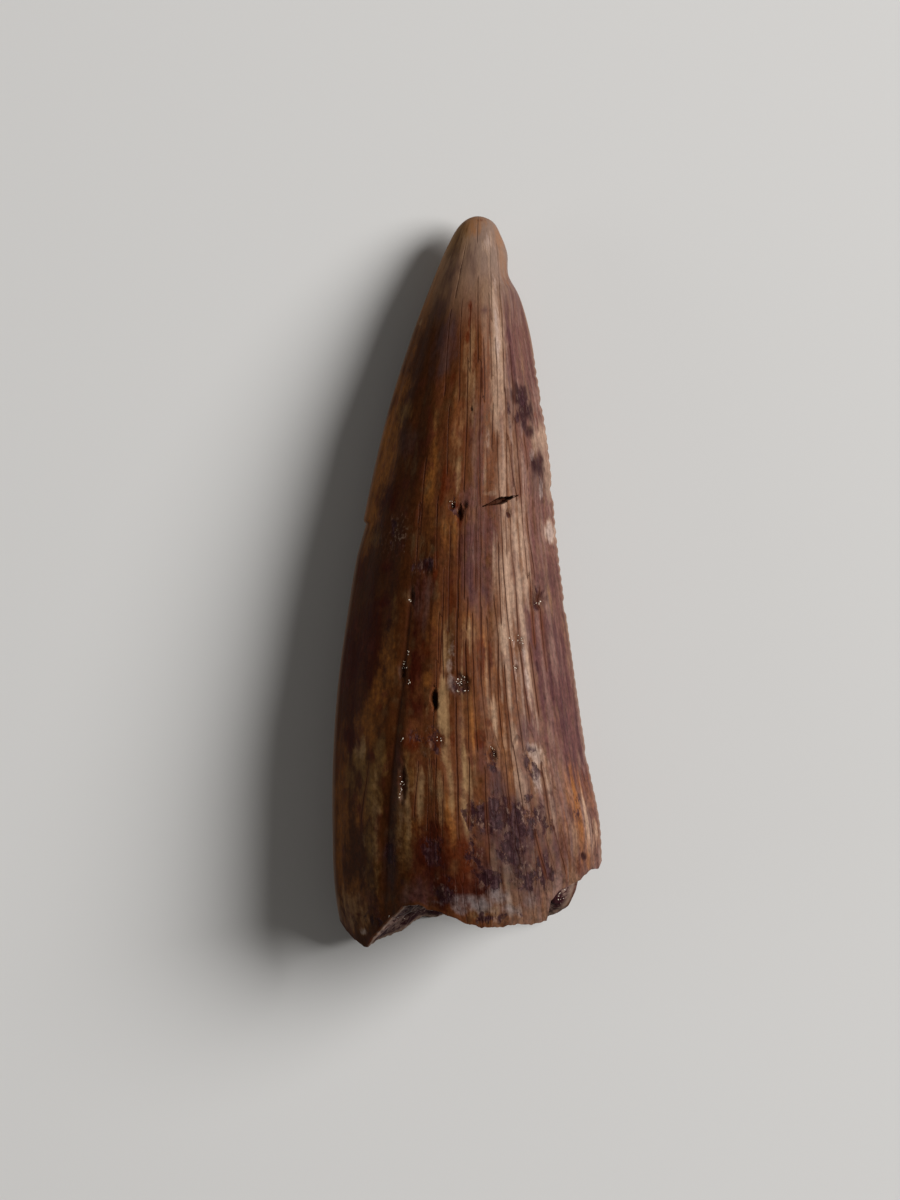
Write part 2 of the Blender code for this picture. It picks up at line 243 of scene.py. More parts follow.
def crack_axes(x, from_tip):
    """Distances along the gaping crack and off its line."""
    off_x, off_tip = x - CRACK_X, from_tip - CRACK_FROM_TIP
    along = off_x * math.cos(CRACK_SLOPE) - off_tip * math.sin(CRACK_SLOPE)
    aside = off_x * math.sin(CRACK_SLOPE) + off_tip * math.cos(CRACK_SLOPE)
    return along, aside


def near_crack(x, from_tip, angle, inward):
    """True round the gaping crack, which needs the finest mesh."""
    _, aside = crack_axes(x, from_tip)
    near = (np.abs(x - CRACK_X) < 0.75) & (np.abs(aside) < 0.2)
    return near & (np.sin(angle) > 0) & (inward == 0)


def split_where(near, sphere, cuts):
    """Splits the edges of a sphere's faces that come to lie where a test is true."""
    centres = np.array([face.calc_center_median().normalized() for face in sphere.faces])
    angle, from_tip, inward = on_crown(centres)
    chosen = near(wall(angle, from_tip)[:, 0], from_tip, angle, inward)
    edges = {edge: True for face, split in zip(sphere.faces, chosen) if split for edge in face.edges}
    bmesh.ops.subdivide_edges(sphere, edges=list(edges), cuts=cuts, use_grid_fill=True)


crown_bm = bmesh.new()
bmesh.ops.create_uvsphere(crown_bm, u_segments=AROUND, v_segments=ROWS, radius=1.0)
split_where(near_damage, crown_bm, cuts=1)
split_where(near_crack, crown_bm, cuts=2)
crown_bm.verts.index_update()

angle, from_tip, inward = on_crown(np.array([vert.co.normalized() for vert in crown_bm.verts]))
places = wall(angle, from_tip)
x, up = places[:, 0], np.sin(angle)
# 1 on the face, 0 on the back, and in between along the edges
face_side = ease(-0.12, 0.12, up)
# Coordinates that run with the grain: round the section, and along the crown
GRAIN_REACH, GRAIN_ROUNDING = 4, 0.5
point_fan, _ = fan_at(x, from_tip)
_, _, _, rise, drop = section(from_tip)
thickness = np.where(up > 0, rise, drop)
grain_up = GRAIN_REACH * up * thickness / (thickness + GRAIN_ROUNDING)
grain = np.stack([GRAIN_REACH * point_fan, grain_up, from_tip], 1)

# The broken base sinks from its rim into a shallow rough dish
base = section(np.array([LENGTH - DISH_FLOOR]))
base_middle, _, base_edge, base_rise, base_drop = (value[0] for value in base)
dish_height = base_edge + (base_rise - base_drop) * DISH_HEIGHT_SHARE
heart = np.array([base_middle, DISH_FLOOR, dish_height])
to_heart = np.linalg.norm(heart - places, axis=1)
depth_in = inward * to_heart
lip = ENAMEL_THICKNESS / to_heart
sunk = 1 - (1 - np.clip((inward - lip) / (1 - lip), 0, 1)) ** 2
broken = places + (heart - places) * inward[:, None]
broken[:, 1] = places[:, 1] + (DISH_FLOOR - places[:, 1]) * sunk
flat = broken * (1, 0, 1)
coarse = sum(height * lumps(flat, width, seed) for height, width, seed in DISH_LUMPS)
broken[:, 1] += coarse * ease(0, 0.9, depth_in) * (1 - 0.3 * inward)
broken[:, 1] += DISH_GRAIN_HEIGHT * lumps(flat, DISH_GRAIN_WIDTH, 5) * ease(0, 0.2, depth_in)
in_break = inward > 0
# On the break the grain's coordinates turn into plain places, so that nothing there is radial
plain = np.stack([broken[:, 0], broken[:, 2] - base_edge, LENGTH - broken[:, 1]], 1)
rim_plain = np.stack([places[:, 0], places[:, 2] - base_edge, LENGTH - places[:, 1]], 1)
turned = plain + (grain - rim_plain) * ((1 - inward) ** 3)[:, None]
grain = np.where(in_break[:, None], turned, grain)
places = np.where(in_break[:, None], broken, places)
for vert, place in zip(crown_bm.verts, places):
    vert.co = place
bmesh.ops.recalc_face_normals(crown_bm, faces=crown_bm.faces)
crown_bm.normal_update()
normals = np.array([vert.normal for vert in crown_bm.verts])

# Relief of the enamel: low ridges, gentle waves and fine wrinkles, less on the worn tip, and
# knobbly near the base
RIDGES, RIDGE_HEIGHT, RIDGE_DRIFT = 18, 0.02, 2.5
WAVE_HEIGHT, WAVE_LENGTH = 0.05, 2.5
# Wrinkles in mm: (height, width, length, seed of the noise)
WRINKLES = ((0.012, 0.5, 2.4, 11), (0.006, 0.2, 1.6, 23))
KNOB_HEIGHT, KNOB_SIZE, KNOBS_FROM, KNOBS_FULL = 0.018, (0.3, 0.3, 0.4), 19.5, 23
grown = np.clip(from_tip / 7, 0, 1) ** 1.5
off_keel = np.clip(np.abs(up) * 3, 0, 1)
drift = lumps(np.stack([from_tip / 8, 0 * x + 3.7, 0 * x], 1), 1.0)
relief = RIDGE_HEIGHT * np.cos(RIDGES * angle + RIDGE_DRIFT * drift)
around = np.stack([2 * np.cos(angle), 2 * np.sin(angle), from_tip / WAVE_LENGTH], 1)
relief += WAVE_HEIGHT * lumps(around, 1.0)
for height, width, length, seed in WRINKLES:
    relief += height * lumps(grain, (width, width, length), seed)
relief += KNOB_HEIGHT * lumps(grain, KNOB_SIZE, 51) * ease(KNOBS_FROM, KNOBS_FULL, from_tip)
relief *= grown * off_keel

# The long furrow, the gaping cross crack and the pits, which open in the face
furrow_x = smooth_through(FURROW, from_tip)
to_furrow = np.abs(x - furrow_x - FURROW_WANDER * lumps(grain, (9, 9, 0.5)))
furrow_length = ease(12.0, 15.5, from_tip) * ease(25.2, 22.5, from_tip)
furrow = ease(FURROW_WIDTH, 0.02, to_furrow) * furrow_length * face_side * ~in_break
cleft = ease(CLEFT_WIDTH, 0.02, to_furrow) * ease(12.7, 13.4, from_tip) * ease(24.6, 23.8, from_tip)
cleft *= face_side * ~in_break
along_crack, off_crack = crack_axes(x, from_tip)
taper = np.clip(1 - np.abs(2 * along_crack / CRACK_LENGTH), 0, 1) ** 1.2
half_gap = np.maximum(CRACK_WIDTH / 2 * taper, CRACK_END_WIDTH)
ragged = CRACK_RAGGEDNESS * lumps(places, 0.12, 9)
gap = ease(1.25, 0.6, np.abs(off_crack + ragged) / half_gap) * (taper > 0) * face_side
pitted = np.zeros(len(x))
pit_depth = np.zeros(len(x))
gritty = lumps(places, 0.16, 4) + 0.6 * lumps(places, 0.07, 8)
for pit_x, pit_from_tip, half_width, half_length, depth in PITS:
    away = np.hypot((x - pit_x) / half_width, (from_tip - pit_from_tip) / half_length)
    bowl = ease(1.25, 0.2, away + 0.5 * gritty) * face_side * ~in_break
    pitted = np.maximum(pitted, bowl * min(1, 0.25 + 2.5 * depth))
    pit_depth = np.maximum(pit_depth, bowl * depth * (1 + 0.5 * gritty))
relief -= FURROW_DEPTH * (furrow + CLEFT_SHARE * cleft) + CRACK_DEPTH * gap + pit_depth
places += normals * (relief * ~in_break)[:, None]

# The serrated right edge with its nicks, and the step chipped out of the left edge. Wear has
# left more of the serrations in some places than in others, and less of them past the middle.
toothed = ease(SERRATION_FIRST, SERRATION_FIRST + 1, from_tip) * (from_tip < SERRATION_LAST)
notch = (0.5 + 0.5 * np.cos(2 * np.pi * from_tip / SERRATION_PITCH)) ** 2
left_by_wear = (0.65 + 0.5 * lumps(grain, (9, 9, 0.7), 2)) * (1 - 0.5 * ease(12, 15, from_tip))
off_right = np.abs(angle) * (base_rise + base_drop) / 2
serrated = ease(SERRATION_REACH, 0, off_right) * (np.cos(angle) > 0) * toothed * ~in_break
bite = SERRATION_DEPTH * notch * left_by_wear
for nick_from_tip, half_length, depth in EDGE_NICKS:
    bite = bite + depth * ease(half_length, 0, np.abs(from_tip - nick_from_tip))
places[:, 0] -= bite * serrated
past_chip = (from_tip - CHIP_FROM_TIP) / CHIP_LENGTH
chip = CHIP_DEPTH * ease(-0.03, 0.02, past_chip) * np.clip(1 - past_chip, 0, 1)
places[:, 0] += chip * ease(-0.93, -0.985, np.cos(angle)) * ~in_break

# The finished mesh, centred as the solid is
places[:, 0] -= (places[:, 0].max() + places[:, 0].min()) / 2
places[:, 1] += tooth_high.y / MM - places[:, 1].max()
places[:, 2] = np.maximum(places[:, 2], 0)
places[:, 2] *= min(1, tooth_high.z / MM / places[:, 2].max())
for vert, place in zip(crown_bm.verts, places):
    vert.co = place * MM
crown_bm.normal_update()
skin = BVHTree.FromBMesh(crown_bm)
crown_mesh = bpy.data.meshes.new("tooth_crown")
crown_bm.to_mesh(crown_mesh)
crown_bm.free()
SHARP_ANGLE = math.radians(50)
crown_mesh.shade_smooth()
crown_mesh.set_sharp_from_angle(angle=SHARP_ANGLE)
crown = bpy.data.objects.new("tooth_crown", crown_mesh)
bpy.context.scene.collection.objects.link(crown)
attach(crown, "root")
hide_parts("tooth")

# Stains by kind, in mm: (x, from the tip, half width, half length, strength). Minerals of
# the ground laid most of them down, so the long ones run with the grain of the enamel. The broad
# "shade" patches down the left side are partly the enamel's dark tone and partly painted shade of
# that side, which turns away from the key lamp, and a few cream and chalk patches on the tip and
# its crest are painted highlight. x is measured from the middle of the crown's width.
FACE_STAINS = {
    # Dark brown, which down the left side is partly painted shade
    "shade": (
        (-1.45, 4.8, 0.4, 1.4, 0.7), (-1.6, 5.9, 0.5, 1.2, 0.9), (-1, 6.4, 0.3, 0.8, 0.4),
        (-1.5, 6.9, 0.5, 1.2, 0.7), (-2.1, 7.9, 0.35, 1, 0.9), (-1.65, 8.4, 0.45, 1.3, 0.85),
        (-2.2, 9.3, 0.5, 0.7, 0.85), (-1.85, 10.1, 0.35, 1.2, 0.8), (-2.7, 10.2, 0.5, 0.7, 0.8),
        (-0.6, 10.4, 0.3, 0.25, 0.5), (-2.6, 11.5, 0.75, 1, 0.95), (-1.2, 12.3, 0.6, 2, 0.75),
        (-1.1, 12.6, 0.25, 0.5, 0.6), (-3.1, 12.8, 0.85, 1.1, 1), (-1.95, 12.9, 0.4, 1.2, 0.9),
        (-0.8, 13.1, 0.35, 0.9, 0.5), (-3.3, 14.4, 0.7, 1.2, 1), (-2.2, 14.6, 0.3, 1.4, 0.8),
        (-1.4, 15.2, 0.5, 1.5, 0.6), (-4.1, 15.6, 0.45, 1.6, 0.9), (-3.4, 15.6, 0.4, 0.8, 0.7),
        (-2.7, 16.4, 0.4, 1.4, 0.5), (-2.35, 17.2, 0.22, 2.2, 0.9), (-4.3, 17.4, 0.35, 1.6, 0.8),
        (-2.5, 19.5, 0.3, 1.6, 0.8), (-4.6, 20.5, 0.15, 3, 0.4), (-2.8, 22, 0.25, 2.2, 0.8),
    ),
    "mauve": (
        (0.65, 3.4, 0.2, 0.15, 0.6), (1.75, 3.4, 0.35, 1.2, 0.5), (1.6, 3.8, 0.35, 1.3, 0.6),
        (1.5, 4.3, 0.25, 0.3, 0.9), (-0.55, 4.5, 0.3, 0.8, 0.3), (2.9, 5, 0.3, 1.2, 0.6),
        (1.6, 5.3, 0.2, 0.8, 0.8), (2.15, 5.3, 0.25, 1, 0.55), (0.2, 7.4, 0.15, 1.2, 0.5),
        (0.4, 8.9, 0.17, 1.9, 0.8), (0.15, 10.1, 0.4, 0.6, 0.8), (2.6, 10.2, 0.3, 0.9, 0.7),
        (0.85, 11.3, 0.3, 1, 0.8), (0.3, 12.1, 0.5, 1.9, 1), (2.65, 12.2, 0.45, 1.3, 0.6),
        (0.75, 12.9, 0.2, 1, 0.8), (3.15, 13.4, 0.25, 1.2, 0.6), (-1.65, 13.6, 0.3, 0.9, 0.5),
        (2.55, 15.3, 0.5, 1.4, 0.85), (3.2, 15.6, 0.35, 1.6, 0.75), (1.9, 15.9, 0.2, 1.6, 0.45),
        (3.2, 16.9, 0.8, 1.8, 0.9), (2.9, 17, 0.55, 1.3, 0.7), (2.2, 18.2, 0.35, 0.6, 0.8),
        (3.3, 18.2, 0.6, 0.6, 1), (3.6, 18.6, 0.8, 1.8, 0.95), (0.5, 19.4, 0.3, 0.7, 0.5),
        (3.6, 19.7, 0.5, 0.9, 0.75), (3.95, 20.3, 0.35, 0.6, 0.6), (0.85, 20.4, 0.35, 0.7, 0.7),
        (4.2, 20.4, 0.15, 0.6, 0.5), (3, 20.9, 0.6, 0.8, 0.6), (3.6, 21.2, 0.4, 0.5, 0.85),
        (1.6, 21.8, 1.2, 1.3, 0.8), (2, 21.9, 0.3, 0.4, 0.4), (3, 22.6, 0.9, 0.9, 0.6),
        (0.7, 23.2, 0.4, 0.8, 0.4), (-1.6, 23.9, 0.5, 0.5, 0.6), (2.2, 23.9, 0.5, 0.6, 0.7),
        (-1.9, 24.1, 0.5, 0.5, 0.6), (-3.6, 24.3, 0.4, 0.4, 0.4), (-4.2, 24.9, 0.3, 0.4, 0.4),
    ),
    "gold": (
        (0.1, 0.15, 0.6, 0.25, 0.8), (0.05, 0.35, 0.5, 0.35, 0.8), (-0.5, 0.8, 0.3, 0.5, 0.7),
        (1.1, 0.8, 0.2, 0.5, 0.6), (1.2, 1.4, 0.16, 1.04, 0.5), (-1, 2.1, 0.21, 0.91, 0.5),
        (-1.5, 3.4, 0.21, 0.91, 0.6), (-1.95, 4.8, 0.16, 0.91, 0.6), (-2.35, 6.2, 0.29, 0.65, 0.8),
        (-2.55, 6.9, 0.2, 0.4, 0.9), (-0.5, 7.4, 0.3, 1.4, 0.3), (-2.75, 7.6, 0.33, 0.78, 1),
        (-2.9, 8.7, 0.36, 1.04, 1), (-1.3, 9.4, 0.21, 1.17, 0.7), (-3.15, 9.5, 0.26, 0.91, 0.9),
        (-3.4, 10.5, 0.29, 0.78, 0.9), (-1.3, 11.1, 0.32, 0.9, 0.35), (-0.65, 11.2, 0.3, 0.9, 0.6),
        (-3.55, 11.4, 0.2, 0.91, 0.5), (-1.1, 14.4, 0.35, 0.8, 0.35), (0.05, 14.6, 0.33, 1.04, 0.4),
        (-2.85, 15.9, 0.33, 1.3, 0.75), (0.6, 15.9, 0.35, 1.6, 0.5), (-1.45, 16.5, 0.18, 0.35, 0.9),
        (-3.1, 17, 0.3, 0.9, 0.7), (1.25, 17.6, 0.26, 1.82, 0.5), (0.1, 17.7, 0.33, 1.69, 0.6),
        (-3.6, 18.1, 0.36, 0.91, 0.8), (1.65, 20.2, 0.2, 0.91, 0.7), (-3.8, 21.1, 0.29, 0.65, 0.8),
        (3.9, 21.3, 0.6, 1.6, 0.6), (-0.6, 21.4, 0.3, 1, 0.7), (-4.45, 21.5, 0.29, 2.86, 0.6),
        (-1.6, 21.7, 0.35, 0.3, 0.9), (3.6, 22.1, 0.4, 0.8, 0.25), (4.25, 22.9, 0.35, 0.5, 0.5),
        (3.6, 23.3, 0.45, 0.35, 0.4), (-3.9, 24.4, 0.6, 0.8, 0.9),
    ),
    "olive": (
        (-0.4, 0.8, 0.35, 0.7, 0.9), (0.4, 1.9, 0.3, 0.9, 0.25), (0.5, 2.6, 0.6, 0.8, 0.3),
        (-2.25, 7, 0.25, 0.4, 0.7), (-1.15, 7.3, 0.12, 0.4, 0.6), (-3.3, 11.5, 0.3, 0.4, 0.4),
        (-2.6, 13.9, 0.14, 0.5, 0.5), (-3.85, 19.2, 0.25, 0.5, 1), (-3.1, 19.3, 0.25, 0.6, 0.9),
        (-2, 19.6, 0.25, 0.9, 0.5), (-4.15, 20, 0.15, 0.9, 0.5), (-3.45, 20.4, 0.35, 0.9, 0.9),
        (-2.3, 21.9, 0.3, 1.9, 0.6), (-3.35, 22.3, 0.25, 1.6, 0.7),
    ),
    "cream": (
        # The patches at x 0.8 and 0.7, about 1 mm from the tip, are painted highlight on the tip's
        # crest
        (-0.8, 0.8, 0.25, 0.6, 0.7), (0.8, 0.95, 0.14, 0.41, 0.8), (-0.3, 1, 0.05, 0.35, 0.9),
        (0.7, 1, 0.25, 0.4, 0.7), (-0.48, 1.7, 0.05, 0.4, 0.8), (0.65, 2, 0.3, 1, 0.25),
        (-1.68, 3.8, 0.07, 0.1, 1), (1.05, 4.3, 0.27, 2.43, 1), (0.05, 5.2, 0.25, 1.6, 0.6),
        (0, 6.3, 0.45, 2.2, 0.45), (0.2, 6.4, 0.1, 2, 0.6), (1.1, 6.6, 0.38, 1.22, 0.9),
        (0.1, 7, 0.25, 1.4, 0.5), (1.25, 7.6, 0.5, 2, 0.6), (-0.35, 7.7, 0.38, 1.22, 0.4),
        (2.55, 8.05, 0.33, 0.61, 1), (0.7, 8.2, 0.26, 0.81, 0.7), (0.65, 8.3, 0.09, 2, 0.7),
        (-0.5, 8.6, 0.3, 1.4, 0.4), (1.25, 8.7, 0.38, 1.76, 0.7), (1.8, 8.9, 0.3, 1.2, 0.5),
        (1.7, 9, 0.12, 2.2, 0.7), (-0.35, 9.2, 0.2, 0.68, 0.6), (1.3, 9.2, 0.12, 2.2, 0.8),
        (2.85, 9.2, 0.21, 1.08, 0.9), (0.8, 9.9, 0.35, 0.1, 0.8), (2.95, 11.25, 0.24, 0.47, 1),
        (1.75, 11.5, 0.38, 1.62, 0.95), (2.1, 12, 0.1, 1.6, 0.8), (0.25, 12.3, 0.08, 1.35, 0.2),
        (0.98, 12.4, 0.14, 1.62, 0.7), (1.35, 12.4, 0.3, 1.35, 0.9), (1.75, 12.6, 0.14, 2.2, 0.9),
        (1.9, 13.1, 0.3, 0.81, 0.9), (1.4, 13.2, 0.12, 2.4, 0.9), (0.85, 13.4, 0.07, 2, 0.6),
        (1.55, 13.6, 0.21, 1.22, 0.9), (1.9, 14.6, 0.18, 1.22, 0.6), (0.05, 14.9, 0.24, 0.81, 0.7),
        (1.2, 14.9, 0.24, 1.22, 1), (-0.72, 15.5, 0.24, 1.22, 0.9), (1.15, 15.6, 0.1, 2.6, 0.9),
        (1.35, 16.1, 0.24, 1.08, 0.8), (-0.2, 16.4, 0.09, 1.4, 0.6), (2.15, 16.4, 0.18, 1.62, 0.7),
        (1.45, 16.6, 0.1, 2.4, 1), (2.3, 16.7, 0.09, 1.6, 0.7), (0.25, 16.8, 0.1, 1.8, 0.6),
        (1.95, 16.9, 0.1, 1.7, 0.85), (1.65, 17, 0.21, 1.62, 0.6), (0.75, 17.2, 0.1, 1.6, 0.7),
        (-1.5, 17.6, 0.15, 0.47, 0.6), (-0.8, 17.6, 0.26, 1.49, 0.9), (0.95, 17.7, 0.21, 0.68, 0.7),
        (-0.15, 18, 0.21, 1.08, 0.35), (1.6, 18.6, 0.24, 1.22, 0.9), (-3.8, 18.9, 0.21, 0.41, 0.8),
        (-0.68, 18.9, 0.21, 0.81, 0.6), (2.2, 18.9, 0.2, 0.1, 0.7), (2.45, 19.3, 0.3, 0.6, 1),
        (-0.1, 19.4, 0.12, 0.8, 0.7), (-1.3, 19.9, 0.12, 1.1, 0.6), (1.9, 20.1, 0.3, 1.35, 0.95),
        (2.75, 20.1, 0.24, 0.94, 1), (-0.5, 20.3, 0.21, 1.22, 0.7), (0.15, 20.3, 0.2, 1.2, 0.75),
        (-1.7, 20.4, 0.2, 1.2, 0.9), (-0.95, 20.6, 0.14, 1.2, 0.8), (0.5, 20.6, 0.12, 1, 0.7),
        (-2.1, 20.9, 0.12, 1.5, 0.7), (-0.15, 21, 0.21, 0.94, 0.7), (3, 21, 0.18, 0.68, 0.7),
        (4.1, 21.2, 0.1, 0.7, 0.7), (-3.25, 21.6, 0.15, 2.2, 0.6), (4.35, 21.7, 0.22, 0.9, 0.7),
        (3.75, 21.9, 0.12, 0.9, 0.7), (3.3, 22, 0.2, 1, 0.5), (-2.35, 22.2, 0.12, 2, 0.5),
        (-3.7, 22.6, 0.14, 1.9, 0.45), (1, 22.7, 0.21, 0.94, 0.7), (1.3, 23.4, 0.18, 0.68, 0.8),
        (1.35, 24.35, 0.3, 0.35, 0.7), (2.3, 24.5, 0.25, 0.3, 0.4), (-4.1, 24.6, 0.6, 0.6, 0.8),
        (0.6, 24.6, 0.8, 0.25, 0.5), (1.6, 24.7, 0.4, 0.2, 0.5), (0.35, 24.8, 0.5, 0.2, 0.5),
        (-3.7, 25.42, 0.1, 0.1, 1),
    ),
    "chalk": (
        # The first two patches, on the tip and down its crest, are painted highlight
        (0.75, 0.95, 0.28, 0.4, 0.45), (1, 3, 0.12, 1.6, 0.4), (1.05, 4.3, 0.12, 1.5, 0.5),
        (0.7, 8.1, 0.12, 0.5, 0.5), (2.3, 8.4, 0.2, 0.3, 0.5), (2.6, 9.6, 0.1, 0.5, 0.6),
        (2.95, 11.25, 0.16, 0.38, 1), (-0.55, 15.9, 0.2, 0.9, 0.6), (1.7, 16.2, 0.1, 1.6, 0.6),
        (2.05, 16.3, 0.1, 1.5, 0.6), (2.35, 19.1, 0.25, 0.4, 0.8), (2.45, 20, 0.14, 0.6, 0.8),
        (3.05, 24, 0.15, 0.3, 0.5), (-3.7, 25.42, 0.1, 0.1, 1),
    ),
    "milky": (
        (1, 24.15, 0.4, 0.35, 0.9), (2.2, 24.2, 0.3, 0.3, 0.4), (-1.2, 24.35, 0.3, 0.15, 0.4),
        (0.45, 24.4, 0.7, 0.3, 1), (-0.2, 24.6, 0.3, 0.2, 0.9), (1.5, 24.6, 0.35, 0.25, 0.7),
    ),
    "smoke": (
        (0.05, 1.7, 0.3, 0.6, 0.6), (-0.5, 1.8, 0.3, 1.3, 0.8), (-0.9, 3.3, 0.3, 0.6, 0.7),
        (-0.75, 4.5, 0.4, 1.1, 0.85), (-0.85, 5.4, 0.3, 0.4, 0.9), (1.85, 6.8, 0.5, 0.8, 0.8),
        (-2.1, 8, 0.25, 0.5, 0.6), (2.5, 9.1, 0.35, 0.9, 0.8), (2.75, 12.9, 0.25, 0.4, 0.4),
        (2.5, 13.6, 0.35, 0.4, 0.8), (-0.25, 16.65, 0.4, 0.4, 0.85), (0.9, 19.2, 0.2, 0.4, 0.6),
        (-2.4, 20.4, 0.25, 1.2, 0.5), (1.5, 21.4, 1, 0.9, 0.6), (1.3, 21.6, 0.9, 1.4, 0.9),
        (-2.75, 23, 0.3, 1.2, 0.5), (2.3, 23.2, 0.7, 0.7, 0.6), (1.8, 23.3, 0.9, 0.8, 0.9),
    ),
    "maroon": (
        (-1.8, 8.4, 0.2, 0.5, 0.5), (-2.75, 10.05, 0.4, 0.5, 0.7), (-1.3, 12.3, 0.3, 0.3, 0.4),
        (-2.9, 12.5, 0.5, 0.2, 0.6), (-3.75, 12.6, 0.14, 0.5, 0.6), (-1.65, 13.5, 0.25, 0.8, 0.5),
        (-3.05, 13.8, 0.35, 0.17, 1), (-3.3, 14.4, 0.5, 0.4, 0.8), (-1.75, 14.9, 0.25, 0.8, 0.7),
        (-3.4, 15, 0.6, 1.6, 0.8), (-4, 15.7, 0.5, 1.3, 0.9), (-3, 16, 0.3, 0.9, 0.5),
        (-1.87, 16.2, 0.25, 1, 0.9), (-4, 17.1, 0.4, 0.9, 0.7), (-1.9, 17.4, 0.28, 0.5, 0.9),
        (-4.15, 18.5, 0.2, 0.6, 1), (-1.5, 22.6, 0.45, 0.7, 1), (-1.3, 22.7, 0.8, 1.1, 1),
        (0, 23, 0.7, 0.8, 0.7), (-1, 23.1, 0.3, 0.7, 0.8), (-1.9, 23.3, 0.3, 0.7, 0.7),
        (0.7, 23.6, 0.4, 0.4, 0.7), (-0.5, 23.8, 0.9, 0.7, 1), (0.3, 23.9, 0.6, 0.5, 0.9),
        (0, 24.1, 0.55, 0.4, 0.8),
    ),
    "rust": (
        (0.45, 0.15, 0.2, 0.06, 0.5), (1.35, 1.2, 0.05, 0.3, 0.4), (0.08, 3.2, 0.1, 0.2, 1),
        (0.08, 3.8, 0.05, 0.5, 0.7), (0, 4.4, 0.1, 0.2, 0.9), (0.25, 5.2, 0.13, 0.5, 0.6),
        (0.5, 5.7, 0.14, 0.7, 0.7), (-0.5, 5.8, 0.16, 0.7, 0.5), (-2.5, 6.6, 0.12, 0.2, 0.5),
        (-0.65, 6.7, 0.14, 0.7, 0.45), (2.4, 7.1, 0.08, 0.2, 0.6), (-1.35, 7.2, 0.1, 0.7, 0.5),
        (0.52, 7.65, 0.08, 0.2, 1), (-0.85, 8, 0.13, 1.2, 0.5), (-0.8, 9.3, 0.2, 0.6, 0.7),
        (-0.95, 10.1, 0.14, 0.6, 0.7), (-0.45, 10.35, 0.2, 0.15, 0.9), (-0.28, 10.8, 0.1, 0.4, 1),
        (-0.28, 12, 0.12, 1.2, 0.6), (-1.1, 12.4, 0.1, 0.5, 0.8), (-0.55, 13.6, 0.3, 0.8, 0.5),
        (-1.5, 15.4, 0.2, 0.3, 0.6), (-1, 15.4, 0.12, 0.3, 0.6), (-0.36, 15.4, 0.1, 0.25, 0.9),
        (0.5, 15.6, 0.16, 0.8, 0.8), (0.78, 15.7, 0.1, 0.6, 0.7), (-3.1, 17.45, 0.12, 0.18, 0.9),
        (0.72, 18, 0.12, 0.15, 0.9), (-0.55, 18.4, 0.1, 0.6, 0.6), (-1.1, 18.6, 0.3, 0.35, 0.95),
        (0.4, 18.6, 0.25, 0.3, 0.8), (-1.95, 18.7, 0.3, 0.4, 0.8), (4.1, 20.2, 0.2, 0.7, 0.45),
        (-3.85, 21.2, 0.1, 0.3, 0.6), (3.4, 22, 0.3, 0.9, 0.4), (-0.7, 22.1, 0.3, 0.5, 0.8),
        (-1.9, 22.2, 0.2, 0.4, 0.6), (-0.1, 22.7, 0.5, 0.9, 0.95), (3.9, 23, 0.2, 0.4, 0.5),
        (-0.25, 23.5, 0.35, 0.4, 0.6), (0.35, 24.4, 0.3, 0.2, 0.9), (-3.9, 24.85, 0.3, 0.1, 0.6),
    ),
    "ink": (
        (1.75, 6.5, 0.36, 0.5, 1), (0.15, 6.92, 0.05, 0.05, 1), (1.95, 7, 0.34, 0.5, 1),
        (2.2, 7.7, 0.16, 0.35, 0.9), (2.5, 8.9, 0.24, 0.55, 0.95), (1.45, 10.65, 0.12, 0.11, 1),
        (1.1, 10.68, 0.06, 0.05, 0.7), (2.65, 10.7, 0.15, 0.4, 0.4), (-1.55, 12.5, 0.27, 0.25, 1),
        (2.5, 13.65, 0.22, 0.26, 0.7), (2.45, 16.1, 0.08, 0.25, 0.7), (-0.5, 16.5, 0.1, 0.16, 0.8),
        (-0.15, 16.75, 0.2, 0.2, 0.35), (2.05, 19.5, 0.1, 0.25, 0.6), (2.3, 20.9, 0.15, 0.2, 0.7),
        (1.25, 20.95, 0.3, 0.1, 0.8), (0.35, 21.1, 0.25, 0.22, 0.9), (2.5, 21.2, 0.3, 0.4, 0.95),
        (1.5, 21.25, 0.38, 0.35, 1), (3.6, 21.3, 0.14, 0.25, 0.5), (0.2, 21.5, 0.1, 0.2, 0.7),
        (1, 21.6, 0.2, 0.3, 0.7), (2.7, 21.7, 0.2, 0.3, 0.7), (1.65, 22.2, 0.22, 0.6, 0.9),
        (-2.75, 22.4, 0.18, 0.15, 0.7), (2.25, 22.4, 0.4, 0.3, 0.6), (4.1, 22.75, 0.1, 0.14, 0.9),
        (-1, 22.8, 0.13, 0.3, 0.7), (2.4, 23.3, 0.4, 0.4, 0.75), (0.65, 23.4, 0.14, 0.2, 0.7),
        (-2.3, 23.6, 0.1, 0.25, 0.9), (0.95, 23.75, 0.2, 0.3, 0.9), (2.1, 23.8, 0.3, 0.3, 0.7),
        (-0.85, 23.85, 0.22, 0.24, 1), (-0.95, 24, 0.25, 0.35, 1), (1.25, 24.85, 0.2, 0.14, 0.9),
        (0.7, 24.9, 0.16, 0.1, 0.9), (1.6, 24.9, 0.1, 0.12, 0.9), (1.1, 25, 0.12, 0.08, 1),
        (0.3, 25.05, 0.1, 0.08, 0.9),
    ),
    "crumbled": (
        (1.8, 6.9, 0.4, 0.6, 0.5), (-0.4, 10.4, 0.3, 0.4, 0.5), (-2.6, 11.3, 0.5, 0.8, 0.3),
        (-1.55, 12.5, 0.3, 0.3, 0.5), (2.5, 13.6, 0.3, 0.4, 0.6), (-0.2, 16.6, 0.3, 0.3, 0.7),
        (-1.4, 18.6, 0.6, 0.5, 0.5), (0.9, 19.2, 0.25, 0.4, 0.6), (2.3, 19.4, 0.5, 0.5, 0.4),
